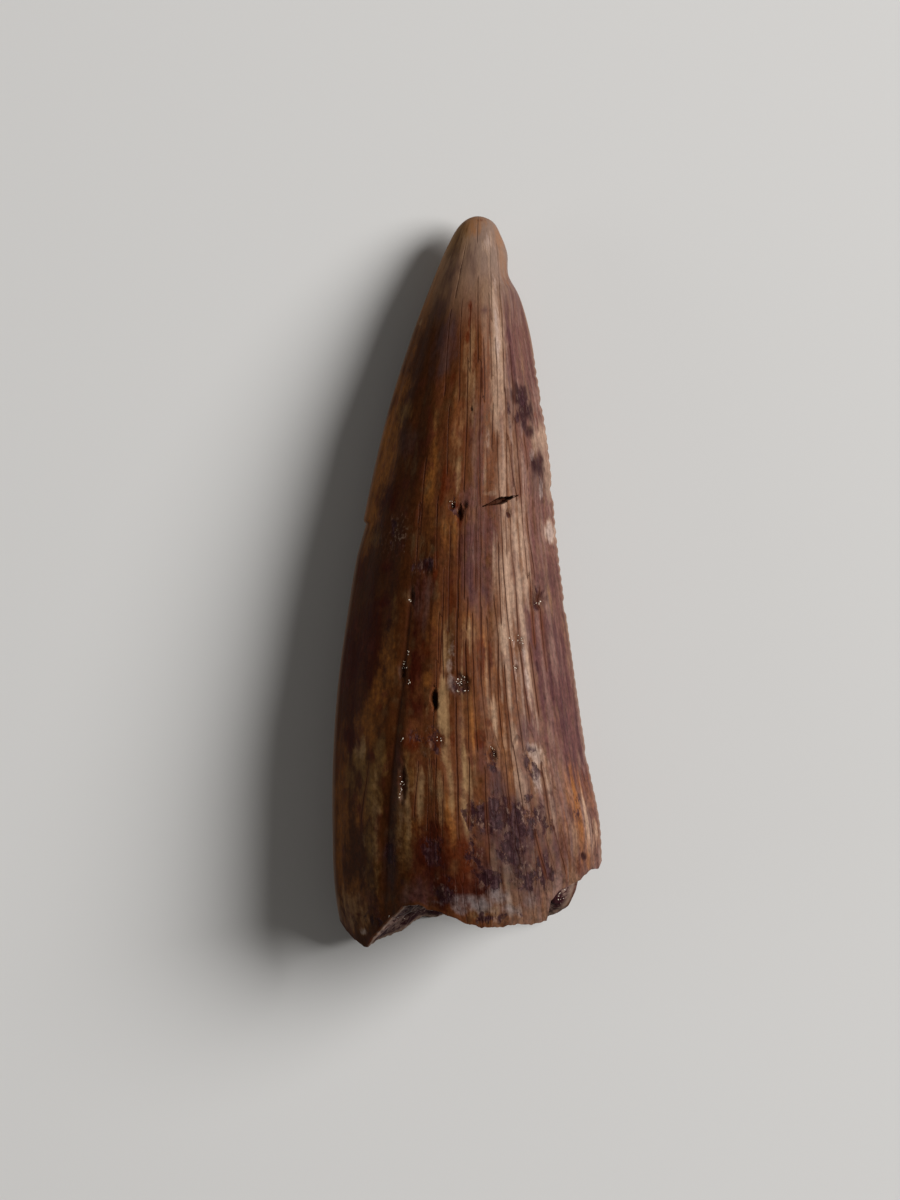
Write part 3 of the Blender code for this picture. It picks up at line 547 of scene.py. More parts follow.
        (3.9, 21, 0.3, 0.6, 0.4), (0.9, 21.3, 0.85, 0.6, 1), (2.1, 21.35, 0.75, 0.6, 1),
        (1.6, 22.2, 0.5, 0.7, 0.8), (-2.7, 22.6, 0.2, 0.6, 0.6), (-1.2, 22.6, 0.4, 0.6, 0.35),
        (0.3, 22.6, 0.4, 0.6, 0.5), (2.3, 23.4, 0.7, 0.6, 0.9), (0.8, 23.6, 0.4, 0.4, 0.8),
        (-0.9, 23.8, 0.4, 0.4, 0.5), (-3.3, 24.9, 0.4, 0.3, 0.35), (1, 24.9, 0.8, 0.2, 0.9),
    ),
    "fleck": (
        (-2.45, 11.3, 0.4, 0.8, 0.9), (-0.8, 12.4, 0.4, 0.4, 0.5), (2.5, 13.7, 0.25, 0.3, 0.6),
        (2.65, 15.4, 0.25, 1, 0.6), (-0.25, 16.7, 0.3, 0.3, 0.5), (-1.1, 18.6, 0.3, 0.35, 0.4),
        (0.95, 19.2, 0.2, 0.3, 0.7), (-2.3, 20.4, 0.15, 0.7, 0.8), (2.2, 22.3, 0.45, 0.6, 0.4),
    ),
}
BACK_STAINS = {
    "shade": ((-2.2, 7.5, 0.7, 2.5, 0.8), (-3.2, 14, 1, 4.5, 0.9), (0.6, 20.5, 0.7, 2.5, 0.6)),
    "mauve": ((1.9, 14.5, 0.7, 2.4, 0.8), (-1.8, 19, 0.9, 3, 0.8), (3.3, 21, 0.6, 1.6, 0.7)),
    "gold": ((1.3, 9.5, 0.5, 2.2, 0.6), (-1.4, 12, 0.4, 2, 0.6), (-0.2, 16, 0.6, 2.6, 0.7)),
    "olive": ((0.2, 8.7, 0.4, 1.6, 0.5), (-3.4, 20.5, 0.5, 1.8, 0.8)),
    "cream": ((0.9, 12, 0.35, 3.4, 0.9), (2.9, 17.5, 0.3, 2, 0.7), (-0.9, 21, 0.35, 2.2, 0.8)),
    "chalk": ((1, 11.2, 0.2, 0.9, 0.7), (-0.8, 20.3, 0.3, 0.6, 0.7)),
    "milky": ((0.2, 23.6, 0.6, 0.3, 0.8), (-2.6, 24.6, 0.4, 0.3, 0.6)),
    "smoke": ((0.4, 4.4, 0.5, 1.6, 0.8), (-1, 9.6, 0.4, 1.2, 0.5)),
    "maroon": ((-3.6, 16.5, 0.5, 2.2, 0.8), (1.7, 23, 0.7, 0.9, 0.9)),
    "rust": ((-0.6, 13.5, 0.25, 1.8, 0.7), (2.2, 19, 0.4, 1.4, 0.8), (-2.6, 23, 0.6, 1, 0.8)),
    "ink": ((-1.2, 7.4, 0.3, 0.4, 0.9), (2.4, 12.2, 0.25, 0.4, 0.9), (1.2, 21.6, 0.5, 0.6, 1)),
    "crumbled": ((0.3, 12, 0.5, 0.9, 0.4), (1.2, 22, 1, 0.9, 0.8), (-2, 23.6, 1, 0.7, 0.8)),
    "fleck": ((-2, 10.8, 0.5, 0.9, 0.7), (1.4, 18, 0.4, 0.9, 0.6)),
}
# Long thin cracks of the face, in mm: (x, from the tip, at the other end: x, from the tip,
# half width). They fan out from the tip with the grain.
FACE_CRACKS = (
    (0.37, 0.1, 0.35, 0.7, 0.018), (0.78, 0.95, 0.86, 3.6, 0.021), (1.05, 1.2, 1.15, 2.9, 0.018),
    (-0.1, 1.2, -0.4, 2.7, 0.021), (0.36, 2.4, 0.36, 5, 0.027), (0.56, 4.6, 0.6, 6.4, 0.021),
    (0, 5.2, -0.04, 8, 0.027), (-0.04, 8, -0.12, 9.6, 0.024), (0.46, 5.4, 0.42, 7.8, 0.033),
    (0.4, 7.8, 0.46, 10.2, 0.03), (0.47, 10.4, 0.45, 13.9, 0.027), (0.9, 6.9, 0.86, 8.1, 0.021),
    (1.04, 7.9, 1.12, 9.9, 0.019), (1.35, 6.3, 1.39, 10, 0.022), (1.45, 8, 1.72, 9.9, 0.018),
    (1.68, 7.4, 1.9, 10.2, 0.02), (1.9, 10.2, 2.1, 12.7, 0.019), (2, 7.9, 2.12, 8.8, 0.018),
    (1.57, 8.3, 1.62, 9.5, 0.015), (1.13, 10.3, 1.22, 12, 0.022), (1.22, 12, 1.42, 14.4, 0.023),
    (1.42, 14.4, 1.58, 15.9, 0.024), (1.58, 15.9, 1.93, 18.8, 0.022), (1.5, 10.8, 1.53, 11.6, 0.024),
    (1.53, 11.6, 1.7, 13, 0.023), (1.7, 13, 1.8, 15, 0.02), (1.8, 15, 2.18, 17.8, 0.023),
    (1.33, 10.9, 1.38, 11.9, 0.027), (2.14, 10.8, 2.36, 12.7, 0.02), (2.35, 10.3, 2.4, 11.1, 0.018),
    (1.07, 11.9, 1.17, 14.3, 0.02), (0.93, 13.7, 1.05, 15, 0.024), (1.05, 15, 1.1, 17, 0.024),
    (1.1, 17, 1.25, 18.8, 0.022), (2.2, 15.4, 2.47, 17.6, 0.019), (-0.3, 10.9, -0.33, 14.2, 0.033),
    (-0.36, 14.1, -0.38, 16.2, 0.036), (-0.62, 3.6, -0.8, 6.2, 0.024), (0.1, 3.4, 0.08, 5.4, 0.024),
    (1.2, 3.4, 1.3, 6, 0.024), (1, 4.6, 1.04, 6.6, 0.02), (0.75, 3, 0.84, 5.6, 0.022),
    (-0.2, 3.2, -0.3, 6.4, 0.02), (1.5, 4.8, 1.62, 7.2, 0.02), (2.55, 13.4, 2.8, 16, 0.02),
    (2.2, 12.9, 2.36, 15.2, 0.02), (0.3, 10.6, 0.28, 13.2, 0.024), (-0.1, 10.6, -0.12, 13.4, 0.024),
    (-0.62, 11.2, -0.66, 14.6, 0.026), (-0.85, 12.8, -0.87, 16.2, 0.022),
    (-0.42, 17.3, -0.37, 19.9, 0.033), (0, 13.8, -0.04, 14.5, 0.027),
    (-0.06, 15.3, -0.05, 16.3, 0.033), (0, 17, 0.03, 18.9, 0.019), (0.17, 14.4, 0.2, 16.1, 0.023),
    (0.2, 16.4, 0.33, 18.8, 0.027), (0.47, 14, 0.46, 16.4, 0.039), (0.46, 16.4, 0.68, 18.4, 0.033),
    (0.68, 14.5, 0.82, 17, 0.033), (1.3, 16.2, 1.55, 18.8, 0.022), (-1.05, 10.2, -1.1, 12.4, 0.027),
    (-1.72, 10.4, -1.8, 12.2, 0.024), (-1, 14.3, -1.03, 16, 0.024), (-1.1, 15.9, -1.12, 17, 0.021),
    (-1.2, 17.6, -1.25, 18.3, 0.018), (-0.66, 7, -0.7, 9, 0.021), (-1.5, 8.9, -1.68, 11.2, 0.03),
    (-0.36, 19.9, -0.3, 22, 0.033), (0.05, 19.4, 0.03, 21.6, 0.024), (-1.1, 19.4, -1.15, 21.4, 0.024),
    (-1.35, 19.4, -1.45, 21.6, 0.019), (0.6, 19.8, 0.75, 22.8, 0.024), (1.3, 19, 1.5, 21, 0.024),
    (1.62, 19, 1.95, 20.9, 0.019), (2.62, 19.6, 2.9, 21.4, 0.024), (3, 21.6, 3.45, 23.2, 0.02),
    (3.3, 21.8, 3.6, 22.8, 0.017), (2.4, 22, 2.8, 23.5, 0.024), (2.75, 22, 3.1, 23.2, 0.018),
    (-1.75, 19.6, -1.9, 21.2, 0.019), (-0.85, 20, -0.9, 21.8, 0.018), (-3.5, 19.6, -3.75, 21.4, 0.021),
)


# The edges of the stains wander in wide bends and in narrow ones
wide_bends = 0.5 * lumps(grain, (0.4, 0.4, 0.9), 31)
stain_edge = wide_bends + 0.35 * lumps(grain, (0.16, 0.16, 0.32), 37)


def stained(stains):
    """How strongly each point is stained: soft patches with edges that wander."""
    strongest = np.zeros(len(x))
    for stain_x, stain_from_tip, half_width, half_length, strength in stains:
        stain_fan, scale = fan_at(stain_x, stain_from_tip)
        aside = (point_fan - stain_fan) * scale / half_width
        away = np.hypot(aside, (from_tip - stain_from_tip) / half_length)
        strongest = np.maximum(strongest, strength * ease(1.75, 0.2, away + stain_edge))
    return strongest


def keep(name, values, kind="FLOAT", field="value"):
    """Stores one number or vector for each point of the crown, for its material to read."""
    held = crown_mesh.attributes.new(name, kind, "POINT")
    held.data.foreach_set(field, np.ascontiguousarray(values, np.float32).ravel())


# What the material reads at each point: the stains, the tip's worn bone colour, the hollows,
# the break inside its enamel, and the pale edges, partly worn and partly painted rim light
on_face, on_back = ease(-0.4, 0.0, up), ease(0.0, -0.4, up)
for kind, face_stains in FACE_STAINS.items():
    shown = stained(face_stains) * on_face + stained(BACK_STAINS[kind]) * on_back
    keep(kind, shown * ~in_break)
keep("bone", ease(4.6, 1.2, from_tip))
hollow = np.maximum(pitted * 0.9, cleft * CLEFT_SHARE)
keep("hollow", np.maximum(hollow, np.minimum(gap * 4, 1)) * ~in_break)
keep("inside", ease(ENAMEL_THICKNESS * 0.6, ENAMEL_THICKNESS * 1.3, depth_in))
lip_shown = ease(ENAMEL_THICKNESS * 2.6, ENAMEL_THICKNESS * 0.5, depth_in)
keep("lip", np.where(in_break, lip_shown, 0))
# Pale edges along the outline: partly wear, partly painted rim light
worn_and_rimlit_width = np.where(point_fan > 0, 0.06, 0.16)
keep("worn_and_rimlit_edge", ease(worn_and_rimlit_width, 0, np.abs(up)) * ~in_break)
# For each point: its distance from the nearest long crack, and that crack's place and width
FAR_AWAY = 9.0
crack_away = np.full(len(x), FAR_AWAY)
crack_fan = np.zeros(len(x))
crack_width = np.full(len(x), 0.01)
for x_1, from_tip_1, x_2, from_tip_2, half_width in FACE_CRACKS:
    fan_1, scale_1 = fan_at(x_1, from_tip_1)
    fan_2, scale_2 = fan_at(x_2, from_tip_2)
    crack_scale = (scale_1 + scale_2) / 2
    centre = np.interp(from_tip, (from_tip_1, from_tip_2), (fan_1, fan_2))
    beyond = np.maximum(np.maximum(from_tip_1 - from_tip, from_tip - from_tip_2), 0)
    away = np.abs(point_fan - centre) * crack_scale + 0.3 * beyond
    nearer = away < crack_away
    crack_away = np.where(nearer, away, crack_away)
    crack_fan = np.where(nearer, centre, crack_fan)
    crack_width = np.where(nearer, half_width / crack_scale, crack_width)
keep("rim_distance", depth_in)
keep("crack_away", crack_away + FAR_AWAY * (1 - on_face))
keep("crack_fan", crack_fan)
keep("crack_width", crack_width)
keep("grain", grain, "FLOAT_VECTOR", "vector")
keep("chart", np.stack([point_fan, from_tip, on_face], 1), "FLOAT_VECTOR", "vector")

# Colours of the enamel, of what stains and fills it, and of the break, as the shares of red,
# green and blue that they reflect
# DEEP, the dark brown of the left side, is partly painted shade of that side
DEEP = (0.055, 0.016, 0.004)
TAN = (0.108, 0.034, 0.012)
PALE_TAN = (0.155, 0.078, 0.045)
PINK = (0.112, 0.05, 0.038)
ROSE = (0.175, 0.1, 0.08)
# Painted shade for the hollows of the mauve folds
FOLD_SHADE_COLOUR = (0.044, 0.017, 0.019)
BONE = (0.176, 0.117, 0.089)
TAN_BONE = (0.26, 0.148, 0.08)
YELLOW_CREAM = (0.255, 0.15, 0.07)
REDDENED = (0.062, 0.013, 0.007)
GREYED = (0.115, 0.07, 0.032)
SPECK = (0.17, 0.11, 0.075)
CHALK = (0.26, 0.16, 0.12)
PURPLE = (0.026, 0.008, 0.01)
LILAC = (0.06, 0.029, 0.03)
DIRT = (0.033, 0.008, 0.003)
RUSTY = (0.1, 0.028, 0.009)
IVORY = (0.27, 0.18, 0.13)
DENTINE = (0.032, 0.009, 0.011)
ROUGH_DENTINE = (0.24, 0.15, 0.12)
SEDIMENT = (0.055, 0.036, 0.028)
# Each kind of stain: its colour, how much it covers, how streaky it is, how full, how crisp
STAINS = {
    # The dark brown of the shade stains is partly painted shade of the left side
    "shade": ((0.036, 0.01, 0.003), 0.9, 0.8, 0.9, 1.1),
    "mauve": ((0.08, 0.03, 0.028), 0.85, 0.35, 0.9, 1.4),
    "gold": ((0.25, 0.09, 0.018), 0.8, 0.9, 0.7, 1.3),
    "olive": ((0.19, 0.1, 0.03), 0.85, 0.9, 0.75, 1.3),
    "cream": ((0.3, 0.193, 0.135), 0.85, 0.95, 0.72, 2.0),
    "smoke": ((0.05, 0.024, 0.021), 0.85, 0.3, 0.9, 1.2),
    "maroon": ((0.036, 0.005, 0.002), 0.9, 0.6, 0.9, 1.6),
    "rust": ((0.074, 0.013, 0.003), 0.9, 0.6, 0.9, 2.0),
    "ink": ((0.02, 0.006, 0.007), 0.92, 0.25, 0.85, 2.3),
    "chalk": ((0.29, 0.21, 0.178), 0.85, 0.25, 0.85, 2.0),
    "milky": ((0.17, 0.132, 0.125), 0.85, 0.4, 0.9, 1.5),
}
# Stains that gather in the dark streaks. The others gather in the pale ones.
DARK_STREAKED = ("rust", "shade", "maroon")
SPECULAR_LEVEL, BUMP_DEPTH, BUMP_STRENGTH = 0.03, 0.03, 0.7

enamel = bpy.data.materials.new("stained_enamel")
enamel.use_nodes = True
# The functions below add their nodes to this tree, which is that of the material being made
tree = enamel.node_tree
enamel_shader = tree.nodes["Principled BSDF"]


def feed(socket, value):
    """Links a socket's output into an input, or sets the input to a plain value."""
    if isinstance(value, bpy.types.NodeSocket):
        tree.links.new(value, socket)
    else:
        socket.default_value = value


def maths(operation, *values, clamp=False):
    """One step of arithmetic on sockets or plain values."""
    node = tree.nodes.new("ShaderNodeMath")
    node.operation, node.use_clamp = operation, clamp
    for socket, given in zip(node.inputs, values):
        feed(socket, given)
    return node.outputs[0]


def plus(first, second):
    return maths("ADD", first, second)


def times(first, second):
    return maths("MULTIPLY", first, second)


def times_plus(first, second, added):
    return maths("MULTIPLY_ADD", first, second, added)


def ranged(value, low, high, start=0.0, end=1.0):
    """start where the value is at low, end where it is at high, and smooth in between."""
    node = tree.nodes.new("ShaderNodeMapRange")
    node.interpolation_type = "SMOOTHSTEP"
    for socket, given in zip(node.inputs, (value, low, high, start, end)):
        feed(socket, given)
    return node.outputs[0]


def laid_over(under, over, share):
    """One colour laid over another by a share. Inputs 6 and 7 are the Mix node's two colours."""
    node = tree.nodes.new("ShaderNodeMix")
    node.data_type = "RGBA"
    feed(node.inputs[0], share)
    for socket, colour in ((node.inputs[6], under), (node.inputs[7], over)):
        feed(socket, (*colour, 1.0) if isinstance(colour, tuple) else colour)
    return node.outputs[2]


def kept(name, output="Fac"):
    """What keep() stored under a name."""
    node = tree.nodes.new("ShaderNodeAttribute")
    node.attribute_name = name
    return node.outputs[output]


def along_grain(across, along, offset=0.0):
    """The grain's coordinates, measured in cells of a width across and a length along, in mm."""
    node = tree.nodes.new("ShaderNodeMapping")
    feed(node.inputs["Vector"], kept("grain", "Vector"))
    node.inputs["Scale"].default_value = (1 / across, 1 / across, 1 / along)
    node.inputs["Location"].default_value = (offset, offset * 1.7, offset * 0.6)
    return node.outputs[0]


def mottle(vector, detail=3.0, roughness=0.55):
    """Noise around 0, mostly between -0.25 and 0.25."""
    node = tree.nodes.new("ShaderNodeTexNoise")
    feed(node.inputs["Vector"], vector)
    node.inputs["Scale"].default_value = 1.0
    node.inputs["Detail"].default_value = detail
    node.inputs["Roughness"].default_value = roughness
    return maths("SUBTRACT", node.outputs[0], 0.5)


def hairlines(width, length, offset, distortion):
    """Distance in mm to the nearest of many long cracks that run with the grain."""
    wobble = times(mottle(along_grain(width * 2, width * 5, offset + 3), 2.0), distortion)
    moved = tree.nodes.new("ShaderNodeVectorMath")
    moved.operation = "ADD"
    feed(moved.inputs[0], along_grain(width, length, offset))
    feed(moved.inputs[1], wobble)
    node = tree.nodes.new("ShaderNodeTexVoronoi")
    node.feature = "DISTANCE_TO_EDGE"
    feed(node.inputs["Vector"], moved.outputs[0])
    node.inputs["Scale"].default_value = 1.0
    return times(node.outputs["Distance"], width)


# fan is the place across the grain, down the distance from the tip, and facing 1 on the face
chart = tree.nodes.new("ShaderNodeSeparateXYZ")
feed(chart.inputs[0], kept("chart", "Vector"))
fan, down, facing = chart.outputs

# The streaked enamel under the stains, from brown on the left to pink on the right. The dark
# brown towards the left is partly the enamel's own tone and partly painted shade of the side that
# turns away from the key lamp
broad = mottle(along_grain(1.0, 7, 1), 2.0)
streak = mottle(along_grain(0.25, 7, 4), 3.0, 0.52)
fine = mottle(along_grain(0.1, 3, 9), 3.0, 0.6)
speck = mottle(along_grain(0.13, 0.2, 13), 4.0, 0.65)
blot = mottle(along_grain(0.5, 0.7, 17), 4.0, 0.6)
patch = mottle(along_grain(0.5, 0.85, 49), 5.0, 0.62)
lined = ranged(fan, -0.5, 0.3, 0.3, 1.0)
varied = times_plus(streak, lined, times_plus(patch, 0.7, broad))
# The fan term darkens the left side: partly the enamel's tone, partly painted shade
bare_and_side_shade = times_plus(varied, 1.3, fan)
colour = laid_over(DEEP, TAN, ranged(bare_and_side_shade, -0.65, 0.2))
colour = laid_over(colour, PALE_TAN, ranged(bare_and_side_shade, -0.05, 0.6))
colour = laid_over(colour, PINK, ranged(bare_and_side_shade, 0.45, 0.9))
rosy = ranged(mottle(along_grain(0.35, 3, 37), 3.0), 0.0, 0.12)
colour = laid_over(colour, ROSE, times(rosy, ranged(fan, 0.25, 0.7, 0.0, 0.75)))
bone = laid_over(TAN_BONE, BONE, ranged(fan, -0.7, 0.2))
colour = laid_over(colour, bone, times(kept("bone"), 0.85))

# Each stain frays along the grain or crumbles into mottles at its edge
streaky = times(plus(times(streak, 1.7), times(fine, 0.45)), lined)
streaky = times(streaky, ranged(down, 5.0, 16.0, 0.22, 1.0))
mottled = plus(times(blot, 1.3), times(speck, 0.6))
streaky = times_plus(mottled, times_plus(lined, -0.6, 0.6), streaky)
for kind, (stain, cover, streakiness, fullness, crispness) in STAINS.items():
    present = times(kept(kind), fullness)
    fray = plus(times(streaky, streakiness), times(mottled, 1 - streakiness))
    if kind in DARK_STREAKED:
        fray = times(fray, -1.0)
    verge = times(present, maths("SUBTRACT", 1.0, present))
    amount = plus(present, times(times(fray, verge), 6.0))
    amount = maths("MULTIPLY_ADD", amount, crispness, (1 - crispness) / 2, clamp=True)
    if kind == "cream":
        stain = laid_over(YELLOW_CREAM, stain, ranged(fan, 0.0, 0.5))
    colour = laid_over(colour, stain, times(amount, cover))

# Iron has reddened some patches and greyed others
patch_share = times(ranged(fan, 0.0, 0.8, 1.0, 0.35), ranged(down, 3.0, 9.0))
reddened = times(ranged(patch, 0.03, 0.2, 0.0, 0.6), patch_share)
greyed = times(ranged(patch, 0.0, -0.28, 0.0, 0.5), patch_share)
greyed = times(greyed, times_plus(kept("maroon"), -0.8, 1.0))
greyed = times(greyed, ranged(fan, -0.85, -0.45, 0.0, 1.0))
colour = laid_over(laid_over(colour, REDDENED, reddened), GREYED, greyed)

# Mauve enamel is banded in soft folds that only the colour carries: painted shade darkens
# their hollows and a painted rosy highlight lightens their crests
folds = mottle(along_grain(0.32, 2.6, 45), 3.0)
fold_shade = times(ranged(folds, -0.06, 0.14, 0.0, 0.85), kept("mauve"))
fold_highlight = times(ranged(folds, -0.04, -0.18, 0.0, 0.45), kept("mauve"))
colour = laid_over(laid_over(colour, ROSE, fold_highlight), FOLD_SHADE_COLOUR, fold_shade)
flecked = ranged(plus(speck, times(kept("fleck"), 0.12)), 0.14, 0.26)
colour = laid_over(colour, SPECK, times(times(flecked, kept("fleck")), 0.7))

# Crumbled enamel: a ragged net of purple mineral with chalky bits between
crumb = mottle(along_grain(0.15, 0.36, 41), 5.0, 0.72)
crumbled = kept("crumbled")
crumbs = times_plus(blot, 1.3, times(crumb, 0.7))
net = ranged(times_plus(crumbled, 0.24, crumbs), 0.09, 0.2)
net = times(net, ranged(crumbled, 0.05, 0.3, 0.0, 0.88))
chalky = times(ranged(crumb, -0.05, -0.14, 0.0, 0.6), crumbled)
purple = laid_over(PURPLE, LILAC, ranged(plus(fine, speck), -0.05, 0.25))
colour = laid_over(laid_over(colour, CHALK, chalky), purple, net)

# Streaks of light and dark run through every stain. The base is darker than the rest, partly
# with dirt and partly as painted shade where the face turns down to the break
shade = plus(times(streak, 0.9), times(fine, 0.6))
shade = times(shade, ranged(down, 5.0, 17.0, 0.2, 1.1))
shade = times(shade, ranged(fan, 0.3, 0.8, 1.0, 0.75))
shade = times(shade, times(lined, 0.9))
shade = times(shade, times_plus(kept("mauve"), -0.6, 1.0))
grainy = times(speck, ranged(fan, -0.8, 0.9, 1.6, 2.2))
shade = times_plus(grainy, ranged(down, 1.5, 6.0, 0.5, 1.0), shade)
# The last term darkens towards the base: partly dirt, partly painted shade
streaks_and_base_shade = times_plus(shade, 0.9, ranged(down, 19.0, 25.2, 1.05, 0.76))
toned = tree.nodes.new("ShaderNodeHueSaturation")
feed(toned.inputs["Value"], streaks_and_base_shade)
feed(toned.inputs["Color"], colour)
colour = toned.outputs[0]

# Hairline cracks come in weak places, and the long ones of the face have rusty flanks
weak = ranged(mottle(along_grain(1.4, 5, 6), 2.0), -0.05, 0.15)
weak = times(weak, ranged(facing, 0.3, 0.9, 1.0, 0.7))
weak = times(weak, ranged(fan, -0.6, 0.0, 0.35, 1.0))
weak = times(weak, ranged(down, 5.0, 14.0))
hairline = ranged(hairlines(0.34, 7.0, 2.0, 0.9), 0.016, 0.004)
hairline = times(hairline, times(weak, 0.7))
wander = times(mottle(along_grain(1.2, 2.0, 21), 3.0), 0.03)
off_line = maths("ABSOLUTE", maths("SUBTRACT", plus(fan, wander), kept("crack_fan")))
half_widths_off = maths("DIVIDE", off_line, kept("crack_width"))
uneven = ranged(mottle(along_grain(0.6, 1.2, 25), 3.0), -0.15, 0.1, 0.5, 1.0)
uneven = times(uneven, facing)
long_crack = times(ranged(half_widths_off, 1.25, 0.5), uneven)
long_crack = times(long_crack, ranged(kept("crack_away"), 0.11, 0.06))
flank = times(ranged(kept("crack_away"), 0.13, 0.02), uneven)
flank = times(flank, ranged(down, 3.0, 9.0))
orange = ranged(mottle(along_grain(0.7, 4, 29), 2.0), -0.1, 0.1, 0.25, 0.7)
colour = laid_over(colour, RUSTY, times(flank, orange))
opened = maths("MAXIMUM", hairline, long_crack)
colour = laid_over(colour, DIRT, times(opened, ranged(down, 1.0, 6.0, 0.4, 0.82)))

# Edges are pale, partly worn and partly painted rim light, hollows hold dark dirt, and the break
# shows dentine inside a pale lip
colour = laid_over(colour, IVORY, times(kept("worn_and_rimlit_edge"), 0.6))
colour = laid_over(colour, DIRT, times(kept("hollow"), 0.93))
rough_parts = ranged(plus(blot, crumb), -0.06, 0.18, 0.0, 0.85)
dentine = laid_over(DENTINE, ROUGH_DENTINE, rough_parts)
rings = maths("SINE", times_plus(blot, 9.0, times(kept("rim_distance"), 22.0)))
dentine = laid_over(dentine, DENTINE, ranged(rings, 0.0, 1.0, 0.0, 0.35))
filled = times_plus(plus(blot, crumb), 1.2, kept("rim_distance"))
dentine = laid_over(dentine, SEDIMENT, ranged(filled, 1.2, 1.7, 0.0, 0.85))
dentine = laid_over(dentine, IVORY, times(kept("lip"), 0.85))
colour = laid_over(colour, dentine, kept("inside"))
feed(enamel_shader.inputs["Base Color"], colour)

# The polish is dulled by specks, streaks and dirt
dulled = plus(times(speck, 0.4), 0.42)
dulled = plus(dulled, times(streak, 0.3))
dulled = plus(dulled, times(kept("hollow"), 0.3))
feed(enamel_shader.inputs["Roughness"], dulled)
enamel_shader.inputs["Specular IOR Level"].default_value = SPECULAR_LEVEL

# Grooves, specks, open cracks and the crumbled net too fine for the mesh
grooves = times(times(fine, lined), ranged(down, 1.0, 12.0, 0.1, 0.45))
height = plus(grooves, times(speck, ranged(down, 1.0, 6.0, 0.2, 0.5)))
height = maths("SUBTRACT", height, times(opened, 0.8))
height = maths("SUBTRACT", height, times(net, 0.5))
bump = tree.nodes.new("ShaderNodeBump")
feed(bump.inputs["Height"], height)
bump.inputs["Distance"].default_value = BUMP_DEPTH * MM
bump.inputs["Strength"].default_value = BUMP_STRENGTH
feed(enamel_shader.inputs["Normal"], bump.outputs[0])
crown_mesh.materials.append(enamel)

# Grit. Tiny glassy mineral grains cemented in the pits, the furrow and the broken base,
# which catch the light as bright points. All of them are one joined mesh.
# Clusters in mm: (x, from the tip, half width, half length, grains)
GRIT = (
    (-2, 13.7, 0.08, 0.15, 4), (-2.07, 15.5, 0.06, 0.1, 3), (-2.2, 15.95, 0.1, 0.35, 10),
    (-2.02, 16.6, 0.1, 0.15, 5), (-2.3, 18.6, 0.05, 0.15, 4), (-2.32, 20.3, 0.12, 0.4, 14),
    (-0.2, 16.6, 0.22, 0.25, 16), (-0.2, 16.9, 0.25, 0.04, 8), (-0.5, 10.3, 0.25, 0.12, 7),
    (2.5, 13.75, 0.15, 0.15, 5), (1.87, 15.15, 0.2, 0.3, 12), (1.7, 16.1, 0.06, 0.2, 6),
    (1.5, 15, 0.1, 0.1, 4), (0.9, 19.1, 0.15, 0.25, 9), (-1.05, 18.6, 0.2, 0.2, 4),
    (3.3, 24.2, 0.3, 0.3, 10), (-2.7, 24.9, 0.5, 0.15, 5),
)
# Radius of a grain in mm, its thickness as a share of that, and where its fall starts
GRAIN_RADIUS, GRAIN_FLATNESS = 0.029, 0.7
ABOVE_TOOTH = 20 * MM
GRIT_TAN, GRIT_PALE = (0.42, 0.32, 0.22), (0.85, 0.76, 0.64)
CLOUDS_PER_METRE = 9000.0
dice = np.random.default_rng(7)
grit_bm = bmesh.new()
x_shift = (tooth_high.x + tooth_low.x) / 2 / MM
for cluster_x, cluster_from_tip, half_width, half_length, grains in GRIT:
    for _ in range(grains):
        scatter_x, scatter_tip = np.clip(dice.normal(0, 0.5, 2), -1, 1)
        grain_x = (cluster_x + scatter_x * half_width + x_shift) * MM
        grain_y = tooth_high.y - (cluster_from_tip + scatter_tip * half_length) * MM
        start = Vector((grain_x, grain_y, ABOVE_TOOTH))
        found, _, _, _ = skin.ray_cast(start, Vector((0, 0, -1)))
        if found is None:
            continue
        radius = GRAIN_RADIUS * MM * dice.uniform(0.4, 1.2)
        thickness = radius * GRAIN_FLATNESS
        stretch = Matrix.Diagonal((radius, radius * dice.uniform(0.6, 1), thickness, 1))
        turn = Matrix.Rotation(dice.uniform(0, math.pi), 4, Vector(dice.normal(0, 1, 3)))
        put = Matrix.Translation(found) @ turn @ stretch
        bmesh.ops.create_icosphere(grit_bm, subdivisions=1, radius=1.0, matrix=put)
grit_mesh = bpy.data.meshes.new("pit_grains")
grit_bm.to_mesh(grit_mesh)
grit_bm.free()
grit = bpy.data.objects.new("pit_grains", grit_mesh)
bpy.context.scene.collection.objects.link(grit)
quartz = bpy.data.materials.new("pale_grit")
quartz.use_nodes = True
tree = quartz.node_tree
quartz_shader = tree.nodes["Principled BSDF"]
clouds = tree.nodes.new("ShaderNodeTexNoise")
coordinates = tree.nodes.new("ShaderNodeTexCoord")
feed(clouds.inputs["Vector"], coordinates.outputs["Object"])
clouds.inputs["Scale"].default_value = CLOUDS_PER_METRE
cloudy = ranged(clouds.outputs[0], 0.35, 0.65)
feed(quartz_shader.inputs["Base Color"], laid_over(GRIT_TAN, GRIT_PALE, cloudy))
feed(quartz_shader.inputs["Roughness"], ranged(clouds.outputs[0], 0.3, 0.7, 0.08, 0.25))
grit_mesh.materials.append(quartz)
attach(grit, "root")

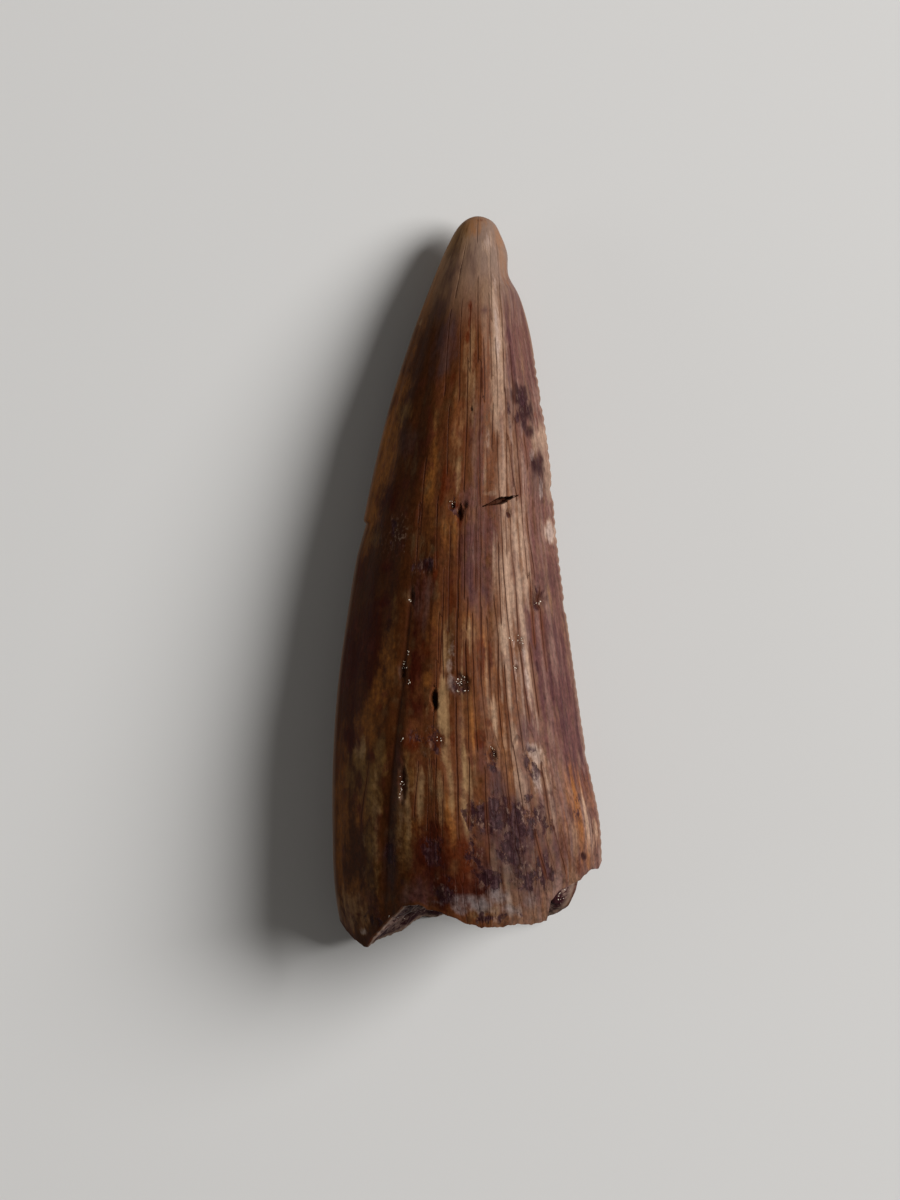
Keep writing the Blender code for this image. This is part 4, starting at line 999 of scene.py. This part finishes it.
# The stage: a flat card of pale matt paper, which isn't part of the tooth. The tooth lies
# loose on it, on the narrow flat along its back. Its size is in m.
FLOOR_SIZE = 1.5
CARD_COLOUR, CARD_ROUGHNESS = (0.62, 0.61, 0.595, 1), 0.9
floor_bm = bmesh.new()
bmesh.ops.create_grid(floor_bm, x_segments=1, y_segments=1, size=FLOOR_SIZE / 2)
floor_mesh = bpy.data.meshes.new("floor")
floor_bm.to_mesh(floor_mesh)
floor_bm.free()
floor = bpy.data.objects.new("floor", floor_mesh)
bpy.context.scene.collection.objects.link(floor)
card = bpy.data.materials.new("pale_card")
card.use_nodes = True
card_shader = card.node_tree.nodes["Principled BSDF"]
card_shader.inputs["Base Color"].default_value = CARD_COLOUR
card_shader.inputs["Roughness"].default_value = CARD_ROUGHNESS
floor_mesh.materials.append(card)

# Light: one large soft lamp from the tooth's right and tip side, a weak low one that
# outlines its left edge, and a dim pale room. Sizes are in m.
LAMP_DISTANCE, LAMP_SIZE = 0.5, 0.3
KEY_TILT, KEY_TURN, KEY_POWER = math.radians(55), math.radians(18), 3.9
RIM_TILT, RIM_TURN, RIM_POWER = math.radians(-80), 0.0, 0.35
ROOM_COLOUR, ROOM_BRIGHTNESS = (0.84, 0.81, 0.77, 1), 0.13


def hang_lamp(name, tilt, turn, power):
    """A round soft lamp aimed at the tooth, tilted from overhead and turned from the x axis."""
    lamp = bpy.data.lights.new(name, "AREA")
    lamp.shape = "DISK"
    lamp.size = LAMP_SIZE
    lamp.energy = power
    hung = bpy.data.objects.new(name, lamp)
    level = math.sin(tilt)
    aim = Vector((level * math.cos(turn), level * math.sin(turn), math.cos(tilt)))
    hung.location = aim * LAMP_DISTANCE
    hung.rotation_euler = aim.to_track_quat("Z", "Y").to_euler()
    bpy.context.scene.collection.objects.link(hung)


hang_lamp("key", KEY_TILT, KEY_TURN, KEY_POWER)
hang_lamp("rim", RIM_TILT, RIM_TURN, RIM_POWER)
room = bpy.data.worlds.new("room")
room.use_nodes = True
backdrop = room.node_tree.nodes["Background"]
backdrop.inputs["Color"].default_value = ROOM_COLOUR
backdrop.inputs["Strength"].default_value = ROOM_BRIGHTNESS
bpy.context.scene.world = room

# Camera: straight above, as the photograph looks at the bulged face. The picture's height
# and centre are in mm on the table, the camera's height in m and its sensor in mm.
VIEW_HEIGHT, VIEW_CENTRE = 42.74, (-0.605, -0.677)
CAMERA_HEIGHT, SENSOR_SIZE = 0.45, 36.0
lens = bpy.data.cameras.new("camera")
lens.sensor_width = SENSOR_SIZE
lens.lens = SENSOR_SIZE * CAMERA_HEIGHT / (VIEW_HEIGHT * MM)
camera = bpy.data.objects.new("camera", lens)
camera.location = (VIEW_CENTRE[0] * MM, VIEW_CENTRE[1] * MM, CAMERA_HEIGHT + TIP_Z * MM)
bpy.context.scene.collection.objects.link(camera)
bpy.context.scene.camera = camera
bpy.context.scene.view_settings.view_transform = "Standard"
